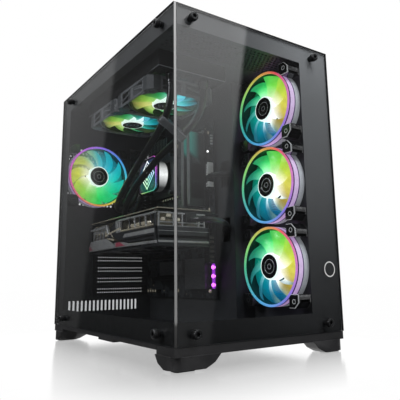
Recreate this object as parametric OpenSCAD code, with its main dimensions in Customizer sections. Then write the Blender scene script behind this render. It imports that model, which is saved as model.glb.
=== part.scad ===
// Desktop computer tower: a dual-chamber case with glass on its front and left,
// and the parts that it holds. Millimetres, +Z up. The origin is on the floor at the
// centre of the bounding box. The front glass faces -Y and the side glass faces -X.

/* [Case] */
// Width of the case over its side glass and its right panel
case_w = 285; // [284:1:296]
// Depth of the case over its front glass and its rear flange
case_d = 434; // [433:1:446]
// Height of the case from the floor to the top edge of the glass
case_h = 459; // [458:1:470]
// Height of the lower edge of the glass above the floor
base_h = 28; // [28:1:31]
// Thickness of each tempered glass panel
glass_t = 4; // [3:0.5:4]
// Thickness of the sheet steel
sheet_t = 1.2; // [1:0.1:1.4]
// Distance from the side glass's outer face to the motherboard tray
main_w = 193; // [192:1:194]

/* [Thumbscrews] */
// Length of a thumbscrew's head
screw_head_l = 9; // [7:0.5:10]
// Diameter of a thumbscrew's head
screw_head_d = 12; // [10:0.5:14]
// Diameter of a thumbscrew's thread
screw_d = 4; // [3:0.5:4]

/* [Fans] */
// Width of a case fan's square frame
fan_w = 120; // [118:1:120]
// Depth of a case fan's frame
fan_t = 25; // [24:0.5:25]
// Number of blades on a case fan
fan_blades = 9; // [7:1:11]
// Pitch angle of a case fan's blades
blade_pitch = 32; // [25:1:38]
// Distance between the centres of the three side fans
side_fan_pitch = 125; // [121:1:126]

/* [Cooler] */
// Width of the square pump head
pump_w = 70; // [64:1:72]
// Outer diameter of a sleeved coolant tube
tube_d = 11; // [9:0.5:12]

/* [Controls] */
// Travel of the power and reset buttons
button_travel = 1.5; // [0.8:0.1:1.6]
// Angle that the power supply's rocker switch leans at rest
rocker_tilt = 8; // [5:1:10]

/* [Hidden] */
$fn = 48;

// How far the feet stand proud of the case's sides
foot_proud = 1.5;
// Gap between a removable panel and what it closes
gap = 0.3;
// How far a cutting shape runs past what it cuts
cut = 1;

// Outer faces of the case. The screw heads widen the bounding box on the left.
left = -(case_w + screw_head_l + foot_proud) / 2 + screw_head_l;
right = left + case_w;
front = -case_d / 2;
back = case_d / 2;
inner_x = left + glass_t + gap;
inner_y = front + glass_t + gap;
panel_x = right - sheet_t;
chamber_x = panel_x - gap;

// Main planes inside the case
wall_y = back - 9;
floor_z = base_h - gap;
deck_z = floor_z + sheet_t;
lid_z = case_h - 13;
ceiling_z = case_h - 21;
rail_h = 22;
tray_x = left + main_w;
bracket_x = left + 230;
step_y = front + 133;

// Thumbscrew places on the two glass panels
low_screw_z = base_h + 13.6;
high_screw_z = base_h + 414;
front_screw_x = [left + 27, left + 250];
side_screw_y = [front + 36, front + 381];
boss_r = 4;
boss_l = 9;
screw_hole_d = screw_d + 0.7;
shaft_l = 8;
panel_screw_z = [215, 415];

// Case fans
fan_r = fan_w / 2;
fan_bore_r = fan_r - 3;
fan_hole_offset = 52.5;
fan_hole_d = 4.3;
fan_band_h = fan_t - 2.5;
hub_r = 20.5;
blade_tip_r = fan_bore_r - 2.5;
axle_r = 1.5;
axle_gap = 0.05;
side_fan_y = front + 68;
side_fan_z = [for (i = [2, 1, 0]) base_h + 94 + i * side_fan_pitch];
top_fan_x = left + 87;
top_fan_y = [front + 178, front + 298];
rear_fan_x = left + 66;
rear_fan_z = base_h + 279;
radiator_t = 27;
radiator_z = ceiling_z - radiator_t;
radiator_y = [front + 88, front + 365];

// Motherboard and its cards
pcb_t = 1.6;
board_x = tray_x - 8;
board_y = [front + 178, front + 422];
board_z = [73, 378];
slot_pitch = 20.32;
slot_z = [for (i = [0:6]) 86 + (6 - i) * slot_pitch];
slot_x = [left + 66, left + 185];
cover_h = 18.4;
cover_y = wall_y - sheet_t - 0.2;
memory_y = [-2, -21];
memory_z = [226, 359];
memory_slot_y = [for (i = [0:3]) 7.5 - i * 9.5];
cpu_y = front + 340;
cpu_z = base_h + 278;
pump_x = [left + 140, board_x - 9];
pump_drum_r = 29.5;

// Graphics card
card_x = [left + 55, left + 165];
card_y = [front + 147, front + 420];
card_z = [base_h + 127, base_h + 187];
card_pcb_z = slot_z[0] + 0.2;
gpu_fan_r = 43;
gpu_fan_x = (card_x[0] + card_x[1]) / 2 - 4;
gpu_fan_y = [for (i = [-1:1]) (card_y[0] + card_y[1]) / 2 + i * 90];

// Power supply and drives, in the right chamber
psu_w = 86;
psu_h = 150;
psu_l = 140;
psu_x = (tray_x + sheet_t + chamber_x) / 2 - psu_w / 2;
psu_y = wall_y - 0.1 - psu_l;
psu_z = deck_z;
psu_fan_y = psu_y + psu_l / 2 - 4;
psu_fan_z = psu_z + psu_h / 2;
psu_wall = 1;
drive_size = [26.1, 147, 101.6];
drive_x = bracket_x + sheet_t + 12;
drive_y = front + 15;

// Controls on the top cover
button_x = left + 262;
power_y = front + 34;
reset_y = front + 56;
power_r = 8;
reset_r = 4;
cap_z = case_h - 4;
usb_y = [front + 84, front + 106];
usb_c_y = front + 124;
audio_y = front + 140;

// Coolant tube routes, from the radiator's tank to the pump's rear side
route_upper = [
    [left + 55, -115.5, radiator_z - 0.3], [left + 55, -115.5, 392], [left + 54.5, -114, 370],
    [left + 53, -105, 347], [left + 52, -84, 327], [left + 52.5, -50, 309],
    [left + 55, -10, 291], [left + 59, 32, 272], [left + 64, 74, 254], [left + 74, 112, 241],
    [left + 92, 143, 237], [left + 114, 164, 243], [left + 133, 175.5, 257.5],
    [left + 145, 180, 276], [left + 149.5, 180.5, 292], [left + 151.5, 173.5, 301],
    [left + 152, 162.5, 302],
];
route_lower = [
    [left + 113, -115.5, radiator_z - 0.3], [left + 113, -115.5, 394],
    [left + 110.5, -116.5, 373], [left + 102, -116, 350], [left + 89, -107, 329],
    [left + 78, -85, 311], [left + 72, -53, 297], [left + 70, -14, 280], [left + 71, 30, 262],
    [left + 76, 72, 244], [left + 87, 108, 230], [left + 104, 137, 226], [left + 126, 157, 234],
    [left + 143, 169, 252], [left + 151, 175, 270], [left + 152, 171.5, 280.5],
    [left + 152, 162.5, 282],
];

// Cable routes: main power, graphics power and processor power
route_main = [
    [board_x - 6, -42, 280], [board_x - 3.3, -52.5, 280], [board_x + 4.5, -60.2, 280],
    [board_x + 15, -63, 280], [tray_x + 17.5, -63, 277.2], [tray_x + 25, -62.5, 269.5],
    [tray_x + 28, -60, 259], [tray_x + 28.5, -48, 235], [tray_x + 29, -24, 206],
    [tray_x + 31, 10, 181], [psu_x + 30, 41, 168.5], [psu_x + 30, 54, 166.5],
    [psu_x + 30, psu_y - 1, 166],
];
route_gpu = [
    [card_x[0] + 62, card_y[0] - 3.6, 196], [card_x[0] + 64.6, -84.1, 196],
    [card_x[0] + 72.3, -91.8, 196], [card_x[0] + 83, -94.8, 195.5], [tray_x - 41, -94, 194.5],
    [tray_x - 27, -89, 193], [tray_x - 14, -80, 190.5], [tray_x - 4, -69, 188],
    [tray_x + 5, -57, 185], [tray_x + 15, -42, 180], [tray_x + 28, -20, 170],
    [psu_x + 38, 8, 158.5], [psu_x + 43, 34, 151.5], [psu_x + 44, 51, 150],
    [psu_x + 44, psu_y - 1, 150],
];
route_cpu = [
    [board_x - 6, 165, 380.5], [board_x - 3.2, 165, 391], [board_x + 4.5, 165, 398.7],
    [board_x + 15, 165, 401.5], [tray_x + 17.5, 165, 398.7], [tray_x + 25, 165, 391],
    [tray_x + 28, 164, 380], [tray_x + 28.5, 158, 352], [tray_x + 30, 142, 312],
    [tray_x + 35, 114, 272], [psu_x + 41, 80, 238], [psu_x + 47, 60, 221.5],
    [psu_x + 52, 43.5, 209], [psu_x + 56, 29, 198], [psu_x + 58, 24.3, 187.8],
    [psu_x + 58, 25.3, 176.5], [psu_x + 58, 31.9, 167.1], [psu_x + 58, 42.2, 162.3],
    [psu_x + 58, 54, 162], [psu_x + 58, psu_y - 1, 162],
];
cable_r = 4.5;
cable_slots = [[[-72, -48], [258, 302]], [[-72, -48], [165, 205]], [[145, 185], [381, 412]]];

// ---------------------------------------------------------------- helpers

// A box between its low and high corners
module block(low, high) {
    translate(low)
        cube([high[0] - low[0], high[1] - low[1], high[2] - low[2]]);
}

// An upright prism with rounded corners, centred on Z and standing on z = 0
module rounded_slab(w, d, h, r) {
    for (x = [-1, 1], y = [-1, 1])
        translate([x * (w / 2 - r), y * (d / 2 - r), 0])
            cylinder(r = r, h = h);
    block([-w / 2, -d / 2 + r, 0], [w / 2, d / 2 - r, h]);
    block([-w / 2 + r, -d / 2, 0], [w / 2 - r, d / 2, h]);
}

// Places children with local +Z pointing along -X, -Y, -Z or +X
module face_left() { rotate([0, -90, 0]) children(); }
module face_right() { rotate([0, 90, 0]) children(); }
module face_front() { rotate([90, 0, 0]) children(); }
module face_back() { rotate([-90, 0, 0]) children(); }
module face_down() { rotate([180, 0, 0]) children(); }

// A point on a smooth curve between p1 and p2
function blend_point(p0, p1, p2, p3, t) =
    0.5 * (2 * p1 + (p2 - p0) * t + (2 * p0 - 5 * p1 + 4 * p2 - p3) * t * t
           + (3 * p1 - p0 - 3 * p2 + p3) * t * t * t);

// A route with steps points between each pair of its own points
function smooth(route, steps) = [
    for (i = [0:len(route) - 2], k = [0:steps - 1])
        blend_point(route[max(i - 1, 0)], route[i], route[i + 1],
                    route[min(i + 2, len(route) - 1)], k / steps),
    route[len(route) - 1],
];

function unit(v) = v / norm(v);
function heading(path, i) = unit(path[min(i + 1, len(path) - 1)] - path[max(i - 1, 0)]);

// Normals carried along a path without twist
function normals(path, i, carried) =
    let (flat = unit(carried - (carried * heading(path, i)) * heading(path, i)))
        i == len(path) - 1 ? [flat] : concat([flat], normals(path, i + 1, flat));

// A closed round tube along a path
module swept_tube(path, r, sides, start_normal) {
    side = normals(path, 0, start_normal);
    rings = len(path);
    corners = [
        for (i = [0:rings - 1], k = [0:sides - 1])
            let (a = 360 * k / sides, across = cross(heading(path, i), side[i]))
                path[i] + r * (cos(a) * side[i] + sin(a) * across),
    ];
    walls = [
        for (i = [0:rings - 2], k = [0:sides - 1])
            let (a = i * sides + k, b = i * sides + (k + 1) % sides)
                [a, a + sides, b + sides, b],
    ];
    polyhedron(
        points = corners,
        faces = concat(walls, [[for (k = [0:sides - 1]) k]],
                       [[for (k = [sides - 1:-1:0]) (rings - 1) * sides + k]]));
}

// ---------------------------------------------------------------- base

// One level of a foot, at the front right corner: how far it reaches from the corner along
// the front and along the side
module foot_level(z, along_front, along_side) {
    block([right - along_front, front - foot_proud, z], [right - 20, front + 22, z + 0.5]);
    translate([right - 20 + foot_proud, front + 20 - foot_proud, z])
        cylinder(r = 20, h = 0.5, $fn = 32);
    block([right - 30, front + 18, z], [right + foot_proud, front + along_side, z + 0.5]);
}

// A foot that narrows towards the floor, most of all along the case's side
module foot() {
    hull() {
        foot_level(base_h - 11, 64, 44);
        foot_level(8, 55, 37);
        foot_level(2, 42, 23);
    }
}

// Copies children to the four corners of the case
module at_corners() {
    centre_x = (left + right) / 2;
    translate([centre_x, 0, 0])
        for (mx = [0, 1], my = [0, 1])
            mirror([mx, 0, 0]) mirror([0, my, 0])
                translate([-centre_x, 0, 0]) children();
}

module plinth() {
    color("#141415") {
        difference() {
            block([left + 1, front + 1, base_h - 11], [right - 1, back - 1, floor_z]);
            block([left + 18, front + 24, base_h - 12], [right - 18, back - 24, base_h + cut]);
            // slot that the dust filter slides into
            block([left - cut, -172.5, base_h - 12], [left + 19, 172.5, base_h + cut]);
            // the side rail is shallower than the front rail
            block([right - 19, -172.5, base_h - 12], [right + cut, 172.5, base_h - 6]);
        }
        at_corners() foot();
    }
}

module foot_pads() {
    color("#0a0a0a")
        at_corners()
            translate([right - 19, front + 13, 0])
                rounded_slab(28, 16, 2, 5);
}

module bottom_filter() {
    filter_z = base_h - 4.5;
    color("#1a1a1b") {
        difference() {
            block([left + 2, -172, filter_z], [right - 20, 172, base_h - 0.5]);
            for (i = [0:11], j = [0:2])
                translate([left + 28 + i * 19, -158 + j * 108, filter_z - cut])
                    cube([13, 100, 6]);
            block([left + 20, -170, filter_z - cut], [right - 22, 170, filter_z + 1]);
        }
        // fine net across the middle of the frame
        block([left + 20, -170, filter_z + 2.4], [right - 24, 170, filter_z + 2.9]);
        block([left + 1, -172, base_h - 6], [left + 4, 172, base_h - 0.5]);
        // pull tab
        block([left + 1, front + 170, base_h - 9], [left + 12, front + 225, base_h - 0.5]);
    }
}

// ---------------------------------------------------------------- chassis

// Threaded bosses for the thumbscrews of both glass panels, at one height
module glass_bosses(z) {
    for (x = front_screw_x)
        translate([x, inner_y, z]) face_back() cylinder(r = boss_r, h = boss_l);
    for (y = side_screw_y)
        translate([inner_x, y, z]) face_right() cylinder(r = boss_r, h = boss_l);
}

module glass_boss_holes(z) {
    for (x = front_screw_x)
        translate([x, inner_y - cut, z]) face_back()
            cylinder(d = screw_hole_d, h = boss_l + 2 * cut);
    for (y = side_screw_y)
        translate([inner_x - cut, y, z]) face_right()
            cylinder(d = screw_hole_d, h = boss_l + 2 * cut);
}

module floor_panel() {
    color("#161617")
        difference() {
            union() {
                block([inner_x, inner_y, floor_z], [chamber_x, wall_y, deck_z]);
                block([inner_x, inner_y, floor_z], [inner_x + sheet_t, wall_y, floor_z + rail_h]);
                block([inner_x, inner_y, floor_z], [chamber_x, inner_y + sheet_t, floor_z + rail_h]);
                glass_bosses(low_screw_z);
            }
            glass_boss_holes(low_screw_z);
            // two fan-sized groups of air slots
            for (j = [0, 1], i = [0:8])
                block([left + 34 + i * 15, -130 + j * 140, floor_z - cut],
                      [left + 42 + i * 15, -10 + j * 140, deck_z + cut]);
        }
}

module fan_holes(h) {
    for (x = [-1, 1], y = [-1, 1])
        translate([x * fan_hole_offset, y * fan_hole_offset, -cut])
            cylinder(d = fan_hole_d, h = h + 2 * cut);
}

// Ring slots of a stamped fan grille, cut through a sheet
module grille_slots(h, rings) {
    for (i = [0:rings - 1])
        difference() {
            translate([0, 0, -cut]) cylinder(r = 24 + i * 11, h = h + 2 * cut);
            translate([0, 0, -2 * cut]) cylinder(r = 17 + i * 11, h = h + 4 * cut);
            for (a = [0, 60, 120])
                rotate(a) translate([-70, -2.5, -2 * cut]) cube([140, 5, h + 4 * cut]);
        }
}

// Small hexagonal holes punched over a fan's square, clear of its screws
module punched_field(h) {
    for (i = [-8:8], j = [-8:8]) {
        x = i * 7.2 + (abs(j) % 2) * 3.6;
        y = j * 6.8;
        screw = norm([abs(x) - fan_hole_offset, abs(y) - fan_hole_offset]);
        if (abs(x) < 58.5 && screw > 6)
            translate([x, y, -cut]) cylinder(r = 2.5, h = h + 2 * cut, $fn = 6);
    }
}

module rear_wall() {
    rim = back - 1.5;
    color("#19191b")
        difference() {
            union() {
                block([inner_x, wall_y, deck_z], [chamber_x, wall_y + sheet_t, ceiling_z]);
                // outward rim that meets the panels
                block([inner_x, wall_y, deck_z], [inner_x + sheet_t, rim, lid_z]);
                block([chamber_x - sheet_t, wall_y, deck_z], [chamber_x, rim, lid_z]);
                block([inner_x, wall_y, deck_z], [chamber_x, rim, deck_z + sheet_t]);
                // ears that take the right panel's thumbscrews
                for (z = panel_screw_z)
                    block([chamber_x - 16, rim - sheet_t, z - 10], [chamber_x, rim, z + 10]);
            }
            for (z = panel_screw_z)
                translate([chamber_x - 8, wall_y - cut, z]) face_back()
                    cylinder(d = screw_hole_d, h = 12);
            translate([rear_fan_x, wall_y, rear_fan_z]) face_back() {
                punched_field(sheet_t);
                fan_holes(sheet_t);
            }
            // window for the board's own ports
            block([board_x - 42, wall_y - cut, 219], [board_x + 2, wall_y + sheet_t + cut, 378]);
            for (z = slot_z)
                block([slot_x[0] + 8, wall_y - cut, z - 6.5],
                      [slot_x[1] - 11, wall_y + sheet_t + cut, z + 6.5]);
            // window for the power supply, inside its mounting rim
            block([psu_x + 5, wall_y - cut, psu_z + 5],
                  [psu_x + psu_w - 5, wall_y + sheet_t + cut, psu_z + psu_h - 5]);
            // upright air slots below the expansion slots
            for (i = [0:17])
                block([left + 22 + i * 8, wall_y - cut, 49],
                      [left + 26 + i * 8, wall_y + sheet_t + cut, 68]);
            // air slots above the power supply
            for (i = [0:7], j = [0:3])
                block([psu_x + 6 + i * 9.5, wall_y - cut, 196 + j * 46],
                      [psu_x + 11 + i * 9.5, wall_y + sheet_t + cut, 234 + j * 46]);
        }
}

module top_frame() {
    color("#161617")
        difference() {
            union() {
                block([inner_x, inner_y, ceiling_z], [chamber_x, wall_y, ceiling_z + sheet_t]);
                block([inner_x, inner_y, case_h - 28], [inner_x + sheet_t, wall_y, lid_z]);
                block([inner_x, inner_y, case_h - 28], [chamber_x, inner_y + sheet_t, lid_z]);
                block([chamber_x - sheet_t, inner_y, case_h - 28], [chamber_x, wall_y, lid_z]);
                glass_bosses(high_screw_z);
            }
            glass_boss_holes(high_screw_z);
            // air slots over the radiator
            for (i = [0:6], j = [0, 1])
                block([left + 32 + i * 16.5, -92 + j * 118, ceiling_z - cut],
                      [left + 43 + i * 16.5, 14 + j * 118, ceiling_z + sheet_t + cut]);
            // punched field ahead of the radiator
            for (i = [0:27], j = [0:8])
                translate([left + 26 + i * 7.2 + (j % 2) * 3.6, front + 24 + j * 6.6, ceiling_z - cut])
                    cylinder(r = 2.5, h = sheet_t + 2 * cut, $fn = 6);
            // slot that the leads to the controls come up through
            block([button_x - 12, front + 40, ceiling_z - cut],
                  [button_x + 4, front + 80, ceiling_z + sheet_t + cut]);
        }
}

module motherboard_tray() {
    color("#161617")
        difference() {
            block([tray_x, step_y + sheet_t, deck_z], [tray_x + sheet_t, wall_y, ceiling_z]);
            for (s = cable_slots)
                block([tray_x - cut, s[0][0], s[1][0]],
                      [tray_x + sheet_t + cut, s[0][1], s[1][1]]);
            // window behind the processor socket
            block([tray_x - cut, cpu_y - 42, cpu_z - 42],
                  [tray_x + sheet_t + cut, cpu_y + 42, cpu_z + 42]);
        }
}

module fan_bracket() {
    color("#121213") {
        difference() {
            block([bracket_x, inner_y + sheet_t, deck_z],
                  [bracket_x + sheet_t, step_y, ceiling_z]);
            for (z = side_fan_z)
                translate([bracket_x, side_fan_y, z]) face_right() {
                    translate([0, 0, -cut]) cylinder(r = fan_bore_r, h = sheet_t + 2 * cut);
                    fan_holes(sheet_t);
                }
        }
        // wall that steps back to the motherboard tray
        block([tray_x, step_y, deck_z], [bracket_x + sheet_t, step_y + sheet_t, ceiling_z]);
    }
}

module front_pillar() {
    color("#121213") {
        difference() {
            block([bracket_x + sheet_t, inner_y + sheet_t, deck_z],
                  [chamber_x - 3, inner_y + 2 * sheet_t, ceiling_z]);
            for (z = [low_screw_z, high_screw_z])
                translate([front_screw_x[1], inner_y, z]) face_back()
                    cylinder(r = boss_r + gap, h = 4);
        }
        block([chamber_x - 3 - sheet_t, inner_y + sheet_t, deck_z],
              [chamber_x - 3, inner_y + 34, ceiling_z]);
    }
}

module top_cover() {
    low_z = lid_z + 0.2;
    skin_z = case_h - 3;
    filter_low = [left + 22, front + 24];
    filter_high = [left + 236, back - 30];
    color("#121213")
        difference() {
            block([inner_x, inner_y, low_z], [chamber_x, back, case_h]);
            block([inner_x + 2.5, inner_y + 2.5, low_z - cut],
                  [chamber_x - 2.5, back - 2.5, skin_z]);
            // recess for the mesh filter, over a grid of air slots
            block([filter_low[0], filter_low[1], case_h - 1.6],
                  [filter_high[0], filter_high[1], case_h + cut]);
            for (i = [0:14], j = [0:3])
                block([filter_low[0] + 5 + i * 14, filter_low[1] + 8 + j * 93, skin_z - cut],
                      [filter_low[0] + 12 + i * 14, filter_low[1] + 92 + j * 93, case_h]);
            translate([button_x, power_y, skin_z - cut]) cylinder(r = power_r + gap, h = 6);
            translate([button_x, reset_y, skin_z - cut]) cylinder(r = reset_r + gap, h = 6);
            for (y = usb_y)
                block([button_x - 3, y - 6.8, skin_z - cut], [button_x + 3, y + 6.8, case_h + cut]);
            block([button_x - 1.9, usb_c_y - 4.8, skin_z - cut],
                  [button_x + 1.9, usb_c_y + 4.8, case_h + cut]);
            translate([button_x, audio_y, skin_z - cut]) cylinder(r = 3.3, h = 6);
        }
}

module top_filter() {
    low = [left + 22.3, front + 24.3, case_h - 1.6];
    high = [left + 235.7, back - 30.3, case_h - 0.2];
    color("#1d1d1f") {
        difference() {
            block(low, high);
            block([low[0] + 9, low[1] + 9, low[2] - cut], [high[0] - 9, high[1] - 9, high[2] + cut]);
        }
        // fine net, thinner than its magnetic border
        block([low[0] + 8, low[1] + 8, low[2] + 0.3], [high[0] - 8, high[1] - 8, low[2] + 0.9]);
    }
}

module right_panel() {
    color("#19191b")
        difference() {
            union() {
                block([panel_x, inner_y, base_h + 0.5], [right, back, case_h - 0.5]);
                // rear flange, which the thumbscrews hold to the rear wall
                block([chamber_x - 6, back - sheet_t, deck_z + 2], [right, back, lid_z - 2]);
                for (z = panel_screw_z)
                    block([chamber_x - 16, back - sheet_t, z - 10], [right, back, z + 10]);
            }
            for (z = panel_screw_z)
                translate([chamber_x - 8, back - 2 * sheet_t, z]) face_back()
                    cylinder(d = screw_hole_d, h = 4);
            // air slots beside the fans and the power supply
            for (i = [0:9], j = [0:3])
                block([panel_x - cut, front + 24 + i * 10, 62 + j * 94],
                      [right + cut, front + 29 + i * 10, 140 + j * 94]);
            for (i = [0:10])
                block([panel_x - cut, psu_y + 16 + i * 10, psu_z + 20],
                      [right + cut, psu_y + 21 + i * 10, psu_z + 130]);
        }
}

// ---------------------------------------------------------------- panels

module front_glass() {
    color("#2b2d30", 0.35)
        difference() {
            block([inner_x, front, base_h], [right, front + glass_t, case_h]);
            for (x = front_screw_x, z = [low_screw_z, high_screw_z])
                translate([x, front - cut, z]) face_back()
                    cylinder(d = screw_d + 4, h = glass_t + 2 * cut);
        }
}

module left_glass() {
    color("#2b2d30", 0.35)
        difference() {
            block([left, front, base_h], [left + glass_t, back, case_h]);
            for (y = side_screw_y, z = [low_screw_z, high_screw_z])
                translate([left - cut, y, z]) face_right()
                    cylinder(d = screw_d + 4, h = glass_t + 2 * cut);
        }
}

// A thumbscrew that lies along +Z, with its head's seat at z = 0
module thumbscrew(grip) {
    difference() {
        union() {
            translate([0, 0, -screw_head_l]) cylinder(d = screw_head_d, h = screw_head_l - 2);
            translate([0, 0, -2]) cylinder(d = screw_head_d - 2, h = 2);
        }
        // cross recess
        for (a = [0, 90])
            rotate(a) translate([-3, -0.8, -screw_head_l - cut]) cube([6, 1.6, 3.5]);
    }
    cylinder(d = screw_d, h = grip + shaft_l);
}

module front_glass_screws() {
    color("#0d0d0e")
        for (x = front_screw_x, z = [low_screw_z, high_screw_z])
            translate([x, front, z]) face_back() thumbscrew(glass_t);
}

module left_glass_screws() {
    color("#0d0d0e")
        for (y = side_screw_y, z = [low_screw_z, high_screw_z])
            translate([left, y, z]) face_right() thumbscrew(glass_t);
}

module right_panel_screws() {
    color("#0d0d0e")
        for (z = panel_screw_z)
            translate([chamber_x - 8, back, z]) face_front() thumbscrew(0);
}

// ---------------------------------------------------------------- controls

// A push button's cap with the flange that keeps it under the cover
module button_cap(r) {
    cylinder(r = r, h = 4.8);
    translate([0, 0, -1.4]) cylinder(r = r + 1.5, h = 2);
}

module power_button() {
    color("#2a2a2c") translate([button_x, power_y, cap_z]) button_cap(power_r);
}

module reset_button() {
    color("#2a2a2c") translate([button_x, reset_y, cap_z]) button_cap(reset_r);
}

// A socket shell that opens upwards, with its contact tongue
module usb_shell(w, d, h) {
    difference() {
        block([-w / 2, -d / 2, 0], [w / 2, d / 2, h]);
        block([-w / 2 + 0.4, -d / 2 + 0.4, 1], [w / 2 - 0.4, d / 2 - 0.4, h + cut]);
    }
}

module io_ports() {
    board_top = lid_z + 4;
    port_h = case_h - 0.4 - board_top;
    color("#26282b") {
        block([button_x - 9, front + 24, board_top - 1.6],
              [button_x + 9, front + 150, board_top]);
        for (y = usb_y)
            translate([button_x, y, board_top]) {
                usb_shell(5.7, 13.2, port_h);
                block([-1.6, -5.5, 0.5], [-0.2, 5.5, port_h - 6]);
            }
        translate([button_x, usb_c_y, board_top]) usb_shell(3.2, 9, port_h);
        translate([button_x, audio_y, board_top])
            difference() {
                cylinder(r = 3, h = port_h);
                translate([0, 0, -cut]) cylinder(r = 1.8, h = port_h + 2 * cut);
            }
        // push switches under the two caps
        for (y = [power_y, reset_y])
            translate([button_x, y, board_top]) cylinder(r = 2, h = 1.4);
    }
}

// ---------------------------------------------------------------- motherboard

module motherboard() {
    color("#1b1d20") {
        difference() {
            block([board_x, board_y[0], board_z[0]],
                  [board_x + pcb_t, board_y[1], board_z[1]]);
            for (y = [0, 2, 4], z = [0:2])
                translate([board_x - cut, board_y[0] + 16 + y * 53, board_z[0] + 12 + z * 138])
                    face_right() cylinder(d = 4, h = pcb_t + 2 * cut);
        }
        // processor socket with the processor in it
        block([board_x - 7, cpu_y - 26, cpu_z - 26], [board_x, cpu_y + 26, cpu_z + 26]);
        // main power socket and the drive connectors on the front edge
        block([board_x - 11, board_y[0] + 1, 254], [board_x, board_y[0] + 9, 306]);
        block([board_x - 9, board_y[0] + 1, 312], [board_x, board_y[0] + 8, 332]);
        for (z = [118, 138, 158])
            block([board_x - 12, board_y[0] + 1, z], [board_x, board_y[0] + 15, z + 14]);
        // processor power socket on the top edge
        block([board_x - 11, 152, 366], [board_x, 178, 377]);
        // sound capacitors near the rear edge
        for (i = [0:3])
            translate([board_x, 150 + i * 10, 84]) face_left() cylinder(r = 3.2, h = 11);
        // power coils around the socket
        for (i = [0:4])
            block([board_x - 6, 84 + i * 15, 347], [board_x, 94 + i * 15, 352]);
    }
}

module board_standoffs() {
    color("#a98a4a")
        for (y = [0, 2, 4], z = [0:2])
            translate([board_x + pcb_t, board_y[0] + 16 + y * 53, board_z[0] + 12 + z * 138])
                face_right() cylinder(d = 5.5, h = tray_x - board_x - pcb_t, $fn = 6);
}

module rear_io_ports() {
    io_y = [board_y[1] - 22, wall_y - 0.2];
    plate_y = wall_y + 0.2;
    color("#3a3c40") {
        difference() {
            union() {
                // port blocks stacked up the board's rear edge
                for (z = [222, 240, 258, 276])
                    block([board_x - 30, io_y[0], z], [board_x, io_y[1], z + 15]);
                block([board_x - 16, io_y[0], 296], [board_x, io_y[1], 312]);
                block([board_x - 20, io_y[0], 318], [board_x, io_y[1], 332]);
                // cover plate in the rear wall's window
                block([board_x - 41.7, io_y[1], 219.3], [board_x - 0.3, wall_y + 1, 377.7]);
            }
            // wide sockets
            for (z = [222, 240, 258, 276])
                block([board_x - 28, io_y[0] + 6, z + 1], [board_x - 2, wall_y + 2, z + 14]);
            block([board_x - 14.5, io_y[0] + 6, 297.5], [board_x - 2, wall_y + 2, 310.5]);
            for (i = [0:2])
                translate([board_x - 8, wall_y - 6, 342 + i * 13]) face_back()
                    cylinder(r = 1.8, h = 9);
        }
        // two contact tongues in each wide socket
        for (z = [222, 240, 258, 276], x = [0, 1])
            block([board_x - 24.5 + x * 14, io_y[0] + 5, z + 3],
                  [board_x - 23 + x * 14, io_y[1] - 4, z + 12]);
        // round audio jacks
        for (i = [0:2])
            translate([board_x - 8, io_y[0], 342 + i * 13]) face_back()
                difference() {
                    cylinder(r = 4, h = plate_y - io_y[0] - 0.4);
                    translate([0, 0, 3]) cylinder(r = 1.8, h = 40);
                }
    }
}

// A finned heatsink block with its fins across Z or Y
module finned(low, high, pitch, depth, along_z) {
    steps = floor((along_z ? high[2] - low[2] : high[1] - low[1]) / pitch);
    difference() {
        block(low, high);
        for (i = [1:steps - 1])
            if (along_z)
                block([low[0] - cut, low[1] - cut, low[2] + i * pitch - pitch / 4],
                      [low[0] + depth, high[1] + cut, low[2] + i * pitch + pitch / 4]);
            else
                block([low[0] - cut, low[1] + i * pitch - pitch / 4, low[2] - cut],
                      [low[0] + depth, low[1] + i * pitch + pitch / 4, high[2] + cut]);
    }
}

module board_heatsinks() {
    color("#34363a") {
        // beside and above the socket, over the power stages
        finned([board_x - 26, 166, 232], [board_x, 181, 345], 7, 12, true);
        finned([board_x - 24, 82, 354], [board_x, 148, 376], 6, 10, false);
        // flat covers for the chipset and the drive slot below the card
        block([board_x - 9, -20, 88], [board_x, 44, 140]);
        block([board_x - 7, 56, 113], [board_x, 140, 138]);
    }
}

module memory_slots() {
    color("#101112")
        for (y = memory_slot_y)
            difference() {
                block([board_x - 8, y - 3.2, memory_z[0] - 6], [board_x, y + 3.2, memory_z[1] + 6]);
                block([board_x - 9, y - 0.8, memory_z[0]], [board_x - 3, y + 0.8, memory_z[1]]);
            }
}

module memory_modules() {
    top_x = left + 142.5;
    color("#232427")
        for (y = memory_y) {
            block([top_x + 8, y - 0.6, memory_z[0] + 0.2], [board_x - 3.2, y + 0.6, memory_z[1] - 0.2]);
            // heat spreader on both faces, stepped along its top edge
            block([top_x + 2, y - 3.4, memory_z[0] + 1], [board_x - 9, y + 3.4, memory_z[1] - 1]);
            block([top_x, y - 3.4, memory_z[0] + 14], [top_x + 3, y + 3.4, memory_z[1] - 14]);
        }
}

module expansion_slots() {
    color("#101112")
        for (i = [0, 3, 5])
            difference() {
                block([board_x - 11, 76, slot_z[i] - 3.6], [board_x, 165, slot_z[i] + 4.4]);
                block([board_x - 12, 78, slot_z[i] - 0.8], [board_x - 3, 163, slot_z[i] + 2]);
            }
}

// ---------------------------------------------------------------- cooler

module cpu_bracket() {
    color("#2c2d30")
        translate([board_x - 7, cpu_y, cpu_z]) face_left() {
            difference() {
                rounded_slab(84, 84, 1.8, 9);
                translate([0, 0, -cut]) rounded_slab(54, 54, 4, 5);
                for (x = [-1, 1], y = [-1, 1])
                    translate([x * 37, y * 37, -cut]) cylinder(r = 2.2, h = 4);
            }
            // sprung thumb nuts
            for (x = [-1, 1], y = [-1, 1])
                translate([x * 37, y * 37, 1.8]) cylinder(r = 4.2, h = 9);
        }
}

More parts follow.
